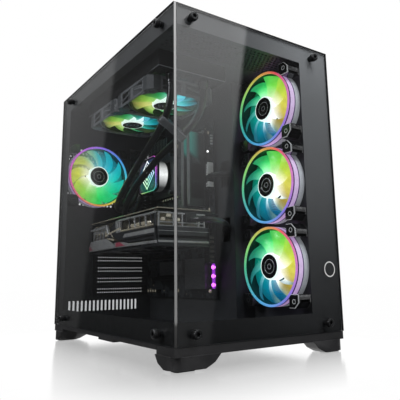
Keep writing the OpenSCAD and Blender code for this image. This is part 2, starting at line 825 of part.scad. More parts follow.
module pump_head() {
    drum_l = board_x - 9.4 - (pump_x[0] + 8);
    color("#161719") {
        // copper base inside the bracket, then the drum and the plate under the display
        translate([board_x - 7, cpu_y, cpu_z]) face_left() cylinder(r = 26, h = 3);
        translate([board_x - 9.4, cpu_y, cpu_z]) face_left() cylinder(r = pump_drum_r, h = drum_l);
        translate([pump_x[0] + 8, cpu_y, cpu_z]) face_left() rounded_slab(pump_w, pump_w, 4, 12);
        // two fittings on the rear side
        for (z = [cpu_z - 4, cpu_z - 24])
            translate([left + 152, cpu_y + 12, z]) face_back() {
                cylinder(r = 4, h = 27);
                cylinder(r = 6.5, h = 24.5);
            }
    }
}

module pump_display() {
    color("#202226")
        translate([pump_x[0] + 4, cpu_y, cpu_z]) face_left()
            rounded_slab(pump_w - 2, pump_w - 2, 4, 11);
}

module radiator() {
    x0 = top_fan_x - fan_r;
    x1 = top_fan_x + fan_r;
    core_y = [radiator_y[0] + 24, radiator_y[1] - 14];
    color("#151516") {
        // end tanks and side rails
        block([x0, radiator_y[0], radiator_z], [x1, core_y[0], ceiling_z]);
        block([x0, core_y[1], radiator_z], [x1, radiator_y[1], ceiling_z]);
        for (x = [x0, x1 - 3])
            block([x, core_y[0], radiator_z], [x + 3, core_y[1], ceiling_z]);
        // flat water channels between the tanks, and the fin pack around them
        for (i = [0:8])
            block([x0 + 8 + i * 12, core_y[0] - 1, radiator_z + 3],
                  [x0 + 10 + i * 12, core_y[1] + 1, ceiling_z - 3]);
        block([x0 + 3, core_y[0], radiator_z + 9], [x1 - 3, core_y[1], ceiling_z - 9]);
    }
}

module coolant_tubes() {
    color("#131314") {
        swept_tube(smooth(route_upper, 4), tube_d / 2, 12, [1, 0, 0]);
        swept_tube(smooth(route_lower, 4), tube_d / 2, 12, [1, 0, 0]);
    }
}

module tube_clip() {
    // a bar that holds the two tubes apart, square to both
    a = [left + 52.6, -98, 340];
    span = 36.4;
    color("#1b1b1d")
        translate(a) rotate([0, 33, 0]) rotate([46, 0, 0])
            difference() {
                union() {
                    block([0, -8, -6], [span, 8, 6]);
                    for (x = [0, span]) translate([x, 0, -6]) cylinder(r = 8, h = 12);
                }
                for (x = [0, span])
                    translate([x, 0, -8]) cylinder(d = tube_d - 0.6, h = 16);
            }
}

// ---------------------------------------------------------------- fans

// A case fan's frame. Its back lies on z = 0 and its light ring faces +Z.
module fan_frame() {
    color("#0f0f10") {
        difference() {
            union() {
                cylinder(r = fan_r, h = fan_band_h, $fn = 96);
                for (a = [0:90:270])
                    rotate(a) difference() {
                        block([fan_r - 21, fan_r - 21, 0], [fan_r, fan_r, fan_t]);
                        translate([0, 0, fan_band_h]) cylinder(r = fan_r + 0.2, h = fan_t);
                    }
            }
            translate([0, 0, -cut]) cylinder(r = fan_bore_r, h = fan_t + 2 * cut, $fn = 96);
            fan_holes(fan_t);
        }
        // motor base on four struts
        difference() {
            union() {
                cylinder(r = hub_r, h = 4);
                for (a = [45:90:315])
                    rotate(a) translate([0, -2, 0]) cube([fan_bore_r + 1, 4, 3]);
            }
            translate([0, 0, -cut]) cylinder(r = axle_r + axle_gap, h = 6);
        }
    }
}

// A rotor: hub, pitched blades, and the axle that turns in the frame's motor base
module fan_rotor(hub, tip, blades, chord, low, high, pitch, axle_low) {
    color("#d8e6e2") {
        translate([0, 0, low]) cylinder(r = hub, h = high - low);
        translate([0, 0, axle_low]) cylinder(r = axle_r, h = low - axle_low + 1);
        for (i = [0:blades - 1])
            rotate(i * 360 / blades)
                translate([hub - 4, 0, (low + high) / 2]) rotate([pitch, 0, 0])
                    translate([0, -chord / 2, -0.8]) cube([tip - hub + 4, chord, 1.6]);
    }
}

module case_rotor() {
    fan_rotor(hub_r, blade_tip_r, fan_blades, 24, 5.5, fan_t - 1, blade_pitch, 0.5);
}

module light_ring() {
    translate([0, 0, fan_band_h])
        difference() {
            cylinder(r = fan_r, h = fan_t - fan_band_h, $fn = 96);
            translate([0, 0, -cut]) cylinder(r = fan_bore_r - 1, h = 5, $fn = 96);
        }
}

// Places children at side fan i, top fan i or the rear fan
module at_side_fan(i) {
    translate([bracket_x, side_fan_y, side_fan_z[i]]) face_left() children();
}

module at_top_fan(i) {
    translate([top_fan_x, top_fan_y[i], radiator_z]) face_down() children();
}

module at_rear_fan() {
    translate([rear_fan_x, wall_y, rear_fan_z]) face_front() children();
}

// The top fans carry no light ring, so their bands run the full depth
module top_fan_frame(i) {
    at_top_fan(i) {
        fan_frame();
        color("#0f0f10") light_ring();
    }
}

module fan_light_rings() {
    color("#f3e9f5") {
        for (i = [0:2]) at_side_fan(i) light_ring();
        at_rear_fan() light_ring();
    }
}

// ---------------------------------------------------------------- graphics card

module gpu_board() {
    color("#16181a") {
        block([card_x[0] + 8, card_y[0] + 6, card_pcb_z],
              [board_x - 11.2, card_y[1] - 2, card_pcb_z + pcb_t]);
        // edge contacts, which reach into the slot
        block([board_x - 12, 80, card_pcb_z], [board_x - 3.5, 161, card_pcb_z + pcb_t]);
        // power socket on the front end
        block([card_x[0] + 52, card_y[0] - 1.8, card_pcb_z - 16],
              [card_x[0] + 72, card_y[0] + 12, card_pcb_z]);
        // backplate over the board
        block([card_x[0] + 4, card_y[0] + 2, card_pcb_z + 4],
              [card_x[1] - 8, card_y[1] - 4, card_pcb_z + 6]);
        for (x = [card_x[0] + 16, card_x[1] - 22], y = [card_y[0] + 30, 60, card_y[1] - 40])
            translate([x, y, card_pcb_z]) cylinder(r = 3, h = 5);
    }
}

module gpu_heatsink() {
    fin_z = [card_z[0] + 18, card_pcb_z - 1];
    color("#b08a5c") {
        for (i = [0:36])
            block([card_x[0] + 10, card_y[0] + 16 + i * 6.6, fin_z[0]],
                  [card_x[1] - 20, card_y[0] + 17 + i * 6.6, fin_z[1]]);
        // heat pipes through the fins
        for (i = [0:4])
            translate([card_x[0] + 24 + i * 16, card_y[0] + 14, fin_z[0] + 9]) face_back()
                cylinder(r = 3, h = 244);
    }
}

module gpu_shroud() {
    low_z = card_z[0];
    skirt_z = low_z + 30;
    centre = [gpu_fan_x, gpu_fan_y[1]];
    color("#222326") {
        difference() {
            union() {
                block([card_x[0] + 4, card_y[0], low_z], [card_x[1] - 12, card_y[1] - 4, low_z + 16]);
                // side rails and end caps
                block([card_x[0], card_y[0] + 22, low_z + 4], [card_x[0] + 6, card_y[1] - 30, skirt_z]);
                block([card_x[1] - 18, card_y[0], low_z + 8], [card_x[1] - 12, card_y[1] - 4, skirt_z]);
                block([card_x[0] + 4, card_y[0], low_z + 8], [card_x[1] - 12, card_y[0] + 4, skirt_z]);
                block([card_x[0] + 4, card_y[1] - 8, low_z + 8],
                      [card_x[1] - 12, card_y[1] - 4, skirt_z]);
            }
            for (y = gpu_fan_y)
                translate([gpu_fan_x, y, low_z - cut]) cylinder(r = gpu_fan_r + 1.5, h = 14);
            // the fans' air goes up through the middle of each well
            for (y = gpu_fan_y)
                translate([gpu_fan_x, y, low_z + 12])
                    difference() {
                        cylinder(r = gpu_fan_r - 2, h = 6);
                        translate([0, 0, -cut]) cylinder(r = 16, h = 8);
                        for (a = [30, 150, 270])
                            rotate(a) translate([0, -2, -cut]) cube([60, 4, 8]);
                    }
            for (y = gpu_fan_y)
                translate([gpu_fan_x, y, low_z + 8]) cylinder(r = axle_r + axle_gap, h = 10);
        }
    }
}

module gpu_bracket() {
    color("#8d9094") {
        difference() {
            block([slot_x[0] + 4, cover_y - 0.2, slot_z[2] - 9],
                  [slot_x[1] - 4, cover_y + 0.9, slot_z[0] + 9]);
            // air slots beside the display sockets
            for (i = [0:11])
                block([slot_x[0] + 14 + i * 7, cover_y - cut, slot_z[2] - 4],
                      [slot_x[0] + 18 + i * 7, cover_y + 2, slot_z[1] + 6]);
            for (i = [0:3])
                block([slot_x[0] + 12 + i * 23, cover_y - cut, slot_z[0] - 4],
                      [slot_x[0] + 30 + i * 23, cover_y + 2, slot_z[0] + 2.5]);
        }
        // folded edge away from the board
        block([slot_x[0], cover_y - 3, slot_z[2] - 9], [slot_x[0] + 1, cover_y + 0.9, slot_z[0] + 9]);
        block([slot_x[0], cover_y - 0.2, slot_z[2] - 9],
              [slot_x[0] + 5, cover_y + 0.9, slot_z[0] + 9]);
    }
}

module gpu_fan(i) {
    translate([gpu_fan_x, gpu_fan_y[i], card_z[0] + 12]) face_down()
        fan_rotor(16, gpu_fan_r - 1, 11, 15, 1, 10.5, 30, -3);
}

// ---------------------------------------------------------------- rear slots

module slot_covers() {
    color("#1d1e20")
        for (i = [3:6])
            difference() {
                union() {
                    block([slot_x[0], cover_y, slot_z[i] - cover_h / 2],
                          [slot_x[1], cover_y + 1, slot_z[i] + cover_h / 2]);
                    block([slot_x[0], cover_y - 3, slot_z[i] - cover_h / 2],
                          [slot_x[0] + 1, cover_y + 1, slot_z[i] + cover_h / 2]);
                }
                // two rows of air holes
                for (row = [-1, 1], k = [0:20])
                    translate([slot_x[0] + 13 + k * 4.6, cover_y - cut, slot_z[i] + row * 3.2])
                        face_back() cylinder(r = 1.2, h = 4, $fn = 6);
            }
}

// ---------------------------------------------------------------- power and storage

module psu_case() {
    low = [psu_x, psu_y, psu_z];
    high = [psu_x + psu_w, psu_y + psu_l, psu_z + psu_h];
    fan_x = high[0] - psu_wall;
    color("#1a1b1c") {
        difference() {
            block(low, high);
            block([low[0] + psu_wall, low[1] + psu_wall, low[2] + psu_wall],
                  [high[0] - psu_wall, high[1] - psu_wall, high[2] - psu_wall]);
            // grille over the fan
            translate([fan_x, psu_fan_y, psu_fan_z]) face_right() grille_slots(psu_wall, 4);
            // hexagonal air holes on the rear face
            for (i = [0:5], j = [0:10])
                translate([low[0] + 12 + i * 7 + (j % 2) * 3.5, high[1] - 2, low[2] + 62 + j * 6.4])
                    face_back() cylinder(r = 2.8, h = 4, $fn = 6);
            // seats for the inlet and the switch
            block([low[0] + 50, high[1] - 2, low[2] + 14], [low[0] + 71, high[1] + cut, low[2] + 42]);
            block([low[0] + 14, high[1] - 2, low[2] + 18], [low[0] + 28, high[1] + cut, low[2] + 39]);
            // cable outlet on the inner end
            block([low[0] + 20, low[1] - cut, low[2] + 104], [low[0] + 68, low[1] + 2, low[2] + 142]);
        }
        // bearing post for the fan's axle, on the grille's centre
        translate([fan_x - 4, psu_fan_y, psu_fan_z]) face_right()
            difference() {
                cylinder(r = 14, h = 4.5);
                translate([0, 0, -cut]) cylinder(r = axle_r + axle_gap, h = 4);
            }
        // grommet that closes the cable outlet around the leads
        block([low[0] + 19, low[1] + psu_wall, low[2] + 103],
              [low[0] + 69, low[1] + 3, low[2] + 143]);
        block([low[0] + 20, low[1], low[2] + 104], [low[0] + 68, low[1] + 2, low[2] + 142]);
    }
}

module psu_fan() {
    translate([psu_x + psu_w - psu_wall - 4, psu_fan_y, psu_fan_z]) face_left()
        fan_rotor(19, 55, 7, 26, 0.6, 19, 30, -2.5);
}

module psu_switch() {
    // rocker, rocked onto its lower end at rest
    color("#101010")
        translate([psu_x + 21, wall_y - 1.8, psu_z + 28.5])
            rotate([-rocker_tilt, 0, 0]) face_front() {
                translate([-5, -8, -3.4]) cube([10, 16, 5.4]);
                translate([-6.2, 0, 0]) face_right() cylinder(r = 0.9, h = 12.4);
            }
}

module psu_inlet() {
    low = [psu_x + 50.2, wall_y - 18, psu_z + 14.2];
    high = [psu_x + 70.8, wall_y - 0.1, psu_z + 41.8];
    color("#0e0e0e") {
        difference() {
            block(low, high);
            block([low[0] + 2.3, low[1] + 2, low[2] + 1.8], [high[0] - 2.3, high[1] + cut, high[2] - 1.8]);
        }
        // three flat contacts
        for (p = [[-4, 0], [3, 7], [3, -7]])
            translate([(low[0] + high[0]) / 2 + p[0], low[1] + 1, (low[2] + high[2]) / 2 + p[1]])
                translate([-2, 0, -1]) cube([4, 10, 2]);
        // frame that holds the rocker's pivots
        difference() {
            block([psu_x + 14.2, wall_y - 9, psu_z + 18.2], [psu_x + 27.8, wall_y - 0.1, psu_z + 38.8]);
            block([psu_x + 15.6, wall_y - 8, psu_z + 19.4], [psu_x + 26.4, wall_y + cut, psu_z + 37.6]);
            translate([psu_x + 14, wall_y - 1.8, psu_z + 28.5]) face_right()
                cylinder(r = 0.95, h = 14);
        }
    }
}

module storage_drives() {
    low = [drive_x, drive_y, deck_z + 3];
    high = low + drive_size;
    color("#8b8e92") {
        // the disk drive's casting with its round motor cover
        block(low, high);
        translate([high[0], low[1] + 88, low[2] + 50]) face_right() cylinder(r = 36, h = 0.8);
    }
    color("#2a2b2d") {
        // slide-in cage around the drive
        difference() {
            block([low[0] - 3, low[1] + 2, deck_z], [high[0] + 6, high[1] + 2, high[2] + 3]);
            block([low[0] - 0.01, low[1] - 9, low[2] - 0.01],
                  [high[0] + 4, high[1] + 9, high[2] + 0.01]);
        }
        // flat solid-state drive screwed to the back of the tray
        block([tray_x + sheet_t, -30, 230], [tray_x + sheet_t + 7, 40, 330]);
    }
}

module power_cables() {
    color("#0c0c0d") {
        swept_tube(smooth(route_main, 4), cable_r, 10, [0, 0, 1]);
        swept_tube(smooth(route_gpu, 4), cable_r, 10, [0, 0, 1]);
        swept_tube(smooth(route_cpu, 4), cable_r, 10, [0, 1, 0]);
    }
}

// ---------------------------------------------------------------- nodes

plinth();
foot_pads();
bottom_filter();
floor_panel();
rear_wall();
top_frame();
motherboard_tray();
fan_bracket();
front_pillar();
top_cover();
top_filter();
right_panel();
right_panel_screws();
front_glass();
front_glass_screws();
left_glass();
left_glass_screws();
power_button();
reset_button();
io_ports();
slot_covers();
motherboard();
board_standoffs();
rear_io_ports();
board_heatsinks();
memory_slots();
memory_modules();
expansion_slots();
cpu_bracket();
pump_head();
pump_display();
radiator();
coolant_tubes();
tube_clip();
for (i = [0:2]) {
    at_side_fan(i) fan_frame();
    at_side_fan(i) case_rotor();
    gpu_fan(i);
}
for (i = [0:1]) {
    top_fan_frame(i);
    at_top_fan(i) case_rotor();
}
at_rear_fan() fan_frame();  // rear_fan_frame
at_rear_fan() case_rotor();  // rear_fan_rotor
fan_light_rings();
gpu_board();
gpu_shroud();
gpu_heatsink();
gpu_bracket();
psu_case();
psu_fan();
psu_switch();
psu_inlet();
storage_drives();
power_cables();
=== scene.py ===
"""Looks for a desktop computer tower with glass on its front and left side.

Meshes are built in millimetres and stored in metres, in the frame of the CAD part.
"""
import math
import random
from itertools import product

import bmesh
import bpy
from mathutils import Matrix, Vector


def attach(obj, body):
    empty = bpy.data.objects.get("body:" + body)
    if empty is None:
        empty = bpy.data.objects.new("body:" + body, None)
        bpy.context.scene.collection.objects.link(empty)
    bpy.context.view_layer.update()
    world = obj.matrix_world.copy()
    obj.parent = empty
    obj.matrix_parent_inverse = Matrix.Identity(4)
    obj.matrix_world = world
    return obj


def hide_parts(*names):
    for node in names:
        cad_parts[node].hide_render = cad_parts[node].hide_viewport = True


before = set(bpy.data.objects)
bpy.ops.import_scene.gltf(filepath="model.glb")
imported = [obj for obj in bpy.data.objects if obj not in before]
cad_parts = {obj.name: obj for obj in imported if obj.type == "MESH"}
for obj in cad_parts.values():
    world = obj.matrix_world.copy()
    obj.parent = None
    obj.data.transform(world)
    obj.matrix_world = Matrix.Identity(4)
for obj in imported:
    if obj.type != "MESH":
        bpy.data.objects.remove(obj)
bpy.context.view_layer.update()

MM = 0.001
random.seed(11)

# ---------------------------------------------------------------- places, in millimetres

LEFT, RIGHT = -138.75, 146.25
FRONT, BACK = -217.0, 217.0
BASE, TOP = 28.0, 459.0
GLASS = 4.0
INNER_X = LEFT + 4.3
WALL_Y = 208.0
CEILING = 438.0
TRAY_X = LEFT + 193
BOARD_X = TRAY_X - 8
BRACKET_X = LEFT + 230
SCREW_Z = (BASE + 13.6, BASE + 414)
SCREW_X = (LEFT + 27, LEFT + 250)
SCREW_Y = (FRONT + 36, FRONT + 381)
PANEL_SCREW_Z = (215, 415)
SIDE_FAN_Y = FRONT + 68
SIDE_FAN_Z = (372, 247, 122)
TOP_FAN_X = LEFT + 87
TOP_FAN_Y = (FRONT + 178, FRONT + 298)
REAR_FAN = (LEFT + 66, WALL_Y, BASE + 279)
RADIATOR_Z = 411.0
CPU = (BOARD_X, FRONT + 340, BASE + 278)
CARD_X = (LEFT + 55, LEFT + 165)
CARD_Y = (FRONT + 147, FRONT + 420)
CARD_Z = (BASE + 127, BASE + 187)
CARD_PCB_Z = 208.12
GPU_FAN_X = sum(CARD_X) / 2 - 4
GPU_FAN_Y = [sum(CARD_Y) / 2 + i * 90 for i in (-1, 0, 1)]
PSU = (57.1, 67.9, 28.9)


WAYS = {
    "left": ((0, 0, 1), (0, 1, 0), (-1, 0, 0)),
    "right": ((0, 0, -1), (0, 1, 0), (1, 0, 0)),
    "front": ((1, 0, 0), (0, 0, 1), (0, -1, 0)),
    "back": ((1, 0, 0), (0, 0, -1), (0, 1, 0)),
    "down": ((1, 0, 0), (0, -1, 0), (0, 0, -1)),
}


def local_frame(origin, x, y, z, unit=MM):
    """A matrix that puts an object's own axes at a place given in millimetres."""
    m = Matrix((x, y, z)).transposed().to_4x4()
    m.translation = [v * unit for v in origin]
    return m


def facing(way, origin, unit=MM):
    """A frame whose Z axis points left, right, to the front, to the back or down."""
    return local_frame(origin, *WAYS[way], unit)


def shifted(x, y, z, turn=0, axis="X"):
    """A move in millimetres, after a turn in degrees."""
    return Matrix.Translation((x, y, z)) @ Matrix.Rotation(math.radians(turn), 4, axis)


def across_x(x):
    """Outlines of (y, z) stand across X, from x inwards."""
    return Matrix(((0, 0, 1, x), (1, 0, 0, 0), (0, 1, 0, 0), (0, 0, 0, 1)))


def shade(colour, factor):
    return tuple(c * factor for c in colour)


def greys(pairs):
    """Colour stops from (place, grey) pairs."""
    return [(place, (v, v, v)) for place, v in pairs]


# ---------------------------------------------------------------- materials


class Nodes:
    """A material's or a world's node tree, with short calls for the nodes used here."""

    def __init__(self, name, world=None):
        self.mat = world or bpy.data.materials.new(name)
        self.mat.use_nodes = True
        self.tree = self.mat.node_tree
        self.out = self.tree.nodes.get("Material Output")
        self.bsdf = self.tree.nodes.get("Principled BSDF")

    def node(self, kind, **inputs):
        n = self.tree.nodes.new("ShaderNode" + kind)
        for key, value in inputs.items():
            n.inputs[key.replace("_", " ")].default_value = value
        return n

    def link(self, value, socket):
        """A number, a colour or another node's output goes into a socket."""
        if isinstance(value, (int, float)):
            socket.default_value = value
        elif isinstance(value, tuple):
            socket.default_value = (*value, 1)
        else:
            self.tree.links.new(value, socket)

    def into(self, key, value):
        """Drives one of the shader's own inputs."""
        self.link(value, self.bsdf.inputs[key])

    def set(self, **values):
        for key, value in values.items():
            self.bsdf.inputs[key.replace("_", " ")].default_value = value

    def coords(self, scale=(1, 1, 1), turn=(0, 0, 0), uv=False):
        mapping = self.node("Mapping", Scale=scale, Rotation=turn)
        source = self.node("TexCoord").outputs["UV" if uv else "Object"]
        self.link(source, mapping.inputs["Vector"])
        return mapping.outputs["Vector"]

    def xyz(self, **options):
        split = self.node("SeparateXYZ")
        self.link(self.coords(**options), split.inputs[0])
        return split.outputs

    def noise(self, vector, scale, detail=4.0):
        n = self.node("TexNoise", Scale=scale, Detail=detail, Roughness=0.55)
        self.link(vector, n.inputs["Vector"])
        return n.outputs["Fac"]

    def ramp(self, factor, stops):
        n = self.node("ValToRGB")
        band = n.color_ramp.elements
        while len(band) < len(stops):
            band.new(0.5)
        for element, (place, _) in zip(band, stops):
            element.position = place
        for element, (_, colour) in zip(band, stops):
            element.color = (*colour, 1)
        self.link(factor, n.inputs["Fac"])
        return n.outputs["Color"]

    def blotches(self, factor, colour, darkest):
        """The colour, darkened where a noise is low."""
        return self.ramp(factor, [(0.3, shade(colour, darkest)), (0.7, colour)])

    def math(self, kind, *values):
        n = self.node("Math")
        n.operation = kind
        for value, socket in zip(values, n.inputs):
            self.link(value, socket)
        return n.outputs[0]

    def length(self, x, y):
        return self.math("SQRT", self.math(
            "ADD", self.math("MULTIPLY", x, x), self.math("MULTIPLY", y, y)))

    def spread(self, value, low, high, to_low, to_high):
        n = self.node("MapRange", From_Min=low, From_Max=high, To_Min=to_low, To_Max=to_high)
        self.link(value, n.inputs["Value"])
        return n.outputs["Result"]

    def mix(self, factor, a, b, blend="MIX"):
        n = self.node("Mix")
        n.data_type, n.blend_type = "RGBA", blend
        for value, place in ((factor, 0), (a, 6), (b, 7)):
            self.link(value, n.inputs[place])
        return n.outputs[2]

    def times(self, a, b):
        return self.mix(1.0, a, b, "MULTIPLY")

    def roughness(self, low, high, scale, vector=None, detail=4.0):
        """Roughness that varies with a noise."""
        noise = self.noise(vector or self.coords(), scale, detail)
        self.into("Roughness", self.spread(noise, 0.3, 0.7, low, high))

    def bump(self, height, strength, distance):
        n = self.node("Bump", Strength=strength, Distance=distance)
        self.link(height, n.inputs["Height"])
        self.into("Normal", n.outputs["Normal"])

    def mix_out(self, factor, other):
        """Where the factor is low, another shader shows in place of this one."""
        mix = self.node("MixShader")
        for value, socket in zip((factor, other.outputs[0], self.bsdf.outputs[0]), mix.inputs):
            self.link(value, socket)
        self.link(mix.outputs[0], self.out.inputs["Surface"])


def around(n):
    """(angle round the object's own Z as 0 to 1, radius in millimetres)"""
    x, y, _ = n.xyz()
    turn = n.math("ADD", n.math("DIVIDE", n.math("ARCTAN2", y, x), 2 * math.pi), 0.5)
    return turn, n.math("MULTIPLY", n.length(x, y), 1000.0)


def surface(name, colour, rough, metal, vary, grain, size, coat=0.0, specular=0.5,
            stretch=(1, 1, 1), glow=None):
    """A moulded, painted or metal surface. size is the grain's width in millimetres.

    glow is (colour, strength).
    """
    n = Nodes(name)
    place = n.coords(stretch)
    fine = n.noise(place, 1000 / size)
    broad = n.noise(place, 1000 / (size * 34), 3.0)
    light = tuple(min(1, c) for c in shade(colour, 1 + vary))
    tone = n.ramp(broad, [(0.3, shade(colour, 1 - vary)), (0.7, light)])
    speck = n.ramp(fine, greys([(0.35, 0.86), (0.65, 1)]))
    n.into("Base Color", n.mix(0.5, tone, speck, "MULTIPLY"))
    both = n.math("ADD", n.math("MULTIPLY", fine, 0.5), n.math("MULTIPLY", broad, 0.5))
    n.into("Roughness", n.spread(both, 0.3, 0.7, max(0.02, rough - 0.12), min(1, rough + 0.12)))
    n.bump(fine, grain, 0.0004)
    n.set(Metallic=metal, Specular_IOR_Level=specular)
    if coat:
        n.set(Coat_Weight=coat, Coat_Roughness=0.08)
    if glow:
        n.into("Emission Color", n.blotches(broad, glow[0], 0.85))
        n.set(Emission_Strength=glow[1])
    return n.mat


def glass(name, tint):
    """Clear glass: a mirror mixed with a tinted see-through by the angle of view."""
    n = Nodes(name)
    place = n.coords()
    n.set(Metallic=1.0, Base_Color=(1, 1, 1, 1))
    n.roughness(0.012, 0.03, 30, place, 2.0)
    clear = n.node("BsdfTransparent")
    n.link(n.blotches(n.noise(place, 3, 2.0), tint, 0.97), clear.inputs["Color"])
    facing_away = n.node("LayerWeight", Blend=0.5).outputs["Facing"]
    n.mix_out(n.math("MULTIPLY_ADD", n.math("POWER", facing_away, 5.0), 0.96, 0.04), clear)
    return n.mat


def glow_disc(name, stops, radial, strength, base, rough=0.3, white=None, core=None):
    """Lit plastic whose colour runs round the object's own axis.

    stops are (angle share, colour), radial is (radius, brightness) pairs and white holds
    (angle share, strength) pairs for how far the colour pales towards the hub. core holds the
    same kind of pairs for how much brighter it grows there.
    """
    n = Nodes(name)
    turn, radius = around(n)
    hue = n.ramp(turn, stops)
    reach = radial[-1][0]
    bright = n.ramp(n.math("DIVIDE", radius, reach), greys([(r / reach, v) for r, v in radial]))
    streak = n.spread(n.noise(n.coords((1, 1, 0.4)), 90, 2.0), 0.3, 0.7, 0.8, 1)
    if white:
        near = n.spread(radius, 20.0, 40.0, 1.0, 0.0)
        hue = n.mix(n.math("MULTIPLY", near, n.ramp(turn, greys(white))), hue, (1.0, 1.0, 0.90))
    shown = n.times(hue, bright)
    if core:
        near = n.spread(radius, 20.0, 44.0, 1.5, 0.0)
        lift = n.math("MULTIPLY", near, n.ramp(turn, greys(core)))
        shown = n.times(shown, n.math("ADD", lift, 1.0))
    n.into("Emission Color", shown)
    n.into("Emission Strength", n.math("MULTIPLY", streak, strength))
    n.into("Base Color", n.mix(0.4, n.times(hue, base), base))
    n.roughness(rough - 0.08, rough + 0.1, 700)
    return n.mat


def sleeve(name, colour, weave):
    """Braided sleeving, on a tube whose UVs run round it and along it."""
    n = Nodes(name)
    place = n.coords((*weave, 1), (0, 0, math.radians(45)), uv=True)
    checks = n.node("TexChecker", Scale=1.0)
    waves = n.node("TexWave", Scale=2.2, Distortion=0.4)
    for pattern in (checks, waves):
        n.link(place, pattern.inputs["Vector"])
    both = n.math("MULTIPLY", checks.outputs["Fac"], waves.outputs["Fac"])
    n.into("Base Color", n.ramp(both, [(0.1, shade(colour, 0.75)), (0.9, shade(colour, 1.4))]))
    n.into("Roughness", n.spread(both, 0, 1, 0.30, 0.38))
    n.bump(both, 0.14, 0.0004)
    n.set(Sheen_Weight=0.05, Coat_Weight=0.5, Coat_Roughness=0.2)
    return n.mat


def mesh_sheet(name, colour, pitch, hole):
    """Woven net or punched sheet: a grid of see-through holes."""
    n = Nodes(name)
    cells = n.node("TexVoronoi", Scale=1000 / pitch, Randomness=0.0)
    n.link(n.coords(), cells.inputs["Vector"])
    n.into("Base Color", n.blotches(n.noise(n.coords(), 40), colour, 0.8))
    n.set(Roughness=0.55)
    n.mix_out(n.spread(cells.outputs["Distance"], hole, hole + 0.08, 0.0, 1.0),
              n.node("BsdfTransparent"))
    return n.mat


def circuit(name, colour, trace, pitch=2.2):
    """Solder mask with fine straight traces under it."""
    n = Nodes(name)
    place = n.coords()
    bricks = n.node("TexBrick", Scale=1.0, Mortar_Size=0.03, Bias=0.0, Brick_Width=9.0,
                    Row_Height=1.0)
    quarter = math.radians(90)
    n.link(n.coords((1000 / pitch,) * 3, (quarter, 0, quarter)), bricks.inputs["Vector"])
    patch = n.spread(n.noise(place, 55, 2.0), 0.48, 0.53, 0.0, 1.0)
    lines = n.math("MULTIPLY", bricks.outputs["Fac"], patch)
    n.into("Base Color", n.mix(lines, n.blotches(n.noise(place, 130), colour, 0.8), trace))
    n.into("Roughness", n.spread(lines, 0, 1, 0.42, 0.3))
    n.bump(lines, 0.25, 0.0002)
    return n.mat


def louvred(name, colour, pitch):
    """A pack of thin fins: bright lines across Y, with dark lines between them that are painted
    shade in the gaps.
    """
    n = Nodes(name)
    wave = n.node("TexWave", Scale=math.pi * 2 * 1000 / pitch / 20, Distortion=0.3, Detail=1.0)
    wave.bands_direction = "Y"
    n.link(n.coords(), wave.inputs["Vector"])
    lines = wave.outputs["Fac"]
    n.into("Base Color", n.ramp(lines, [(0.25, shade(colour, 0.15)), (0.75, colour)]))
    n.roughness(0.35, 0.5, 300)
    n.set(Metallic=0.6)
    n.bump(lines, 0.7, 0.001)
    return n.mat


def printed(name, tones, across=False):
    """Ceramic print or bare edge whose grey changes with height as painted light, darker towards
    the bottom: (share of height, grey) pairs.

    With across, it also pales towards the right side of the case, more so higher up, as painted
    light.
    """
    n = Nodes(name)
    x, _, z = n.xyz()
    # painted light: the grey follows the height
    height = n.spread(z, BASE * MM, TOP * MM, 0.0, 1.0)
    tone = n.ramp(height, greys(tones))
    speck = n.ramp(n.noise(n.coords(), 900), greys([(0.3, 0.93), (0.7, 1)]))
    if across:
        far = n.spread(x, -0.05, 0.09, 0.0, 1.0)
        gain = n.math("MULTIPLY", far, n.math("ADD", n.math("MULTIPLY", height, 1.3), 0.75))
        tone = n.times(tone, n.math("ADD", gain, 1.0))
    n.into("Base Color", n.times(tone, speck))
    n.roughness(0.55, 0.7, 60)
    n.set(Specular_IOR_Level=0.25)
    return n.mat


STEEL = surface("powder_coated_steel", (0.030, 0.031, 0.034), 0.48, 0.0, 0.15, 0.22, 0.5)
STEEL_PALE = surface("powder_coated_steel_inside", (0.052, 0.054, 0.058), 0.5, 0.0, 0.15, 0.2, 0.5)
PLINTH = surface("moulded_black_plastic", (0.014, 0.014, 0.015), 0.46, 0.0, 0.2, 0.25, 0.7)
RUBBER = surface("rubber", (0.012, 0.012, 0.012), 0.85, 0.0, 0.25, 0.4, 1.0)


# the printed border, with painted light: darker low down, paler higher up and towards the right
PRINT = printed("printed_border_painted_light", [(0.0, 0.017), (0.25, 0.036), (0.5, 0.066), (0.8, 0.085),
                                   (1.0, 0.12)], across=True)
# the bare ground edge, with painted light that pales it higher up
EDGE = printed("ground_glass_edge_painted_light", [(0.0, 0.02), (0.055, 0.03), (0.065, 0.15), (0.5, 0.20),
                                     (1.0, 0.30)])
EDGE_DARK = surface("printed_glass_edge", (0.02, 0.021, 0.022), 0.6, 0.0, 0.1, 0.1, 0.5,
                    specular=0.2)
GLASS_MAT = glass("tempered_glass", (0.80, 0.81, 0.82))
SCREW = surface("anodised_black", (0.012, 0.012, 0.013), 0.32, 0.6, 0.2, 0.15, 0.3)
SCREW_FACE = surface("turned_black_face", (0.035, 0.036, 0.038), 0.28, 0.8, 0.2, 0.2, 0.25)
GLOSS = surface("glossy_black_plastic", (0.008, 0.008, 0.009), 0.16, 0.0, 0.2, 0.05, 0.8, coat=0.6)
MATT = surface("matt_black_plastic", (0.013, 0.013, 0.014), 0.55, 0.0, 0.2, 0.25, 0.6)
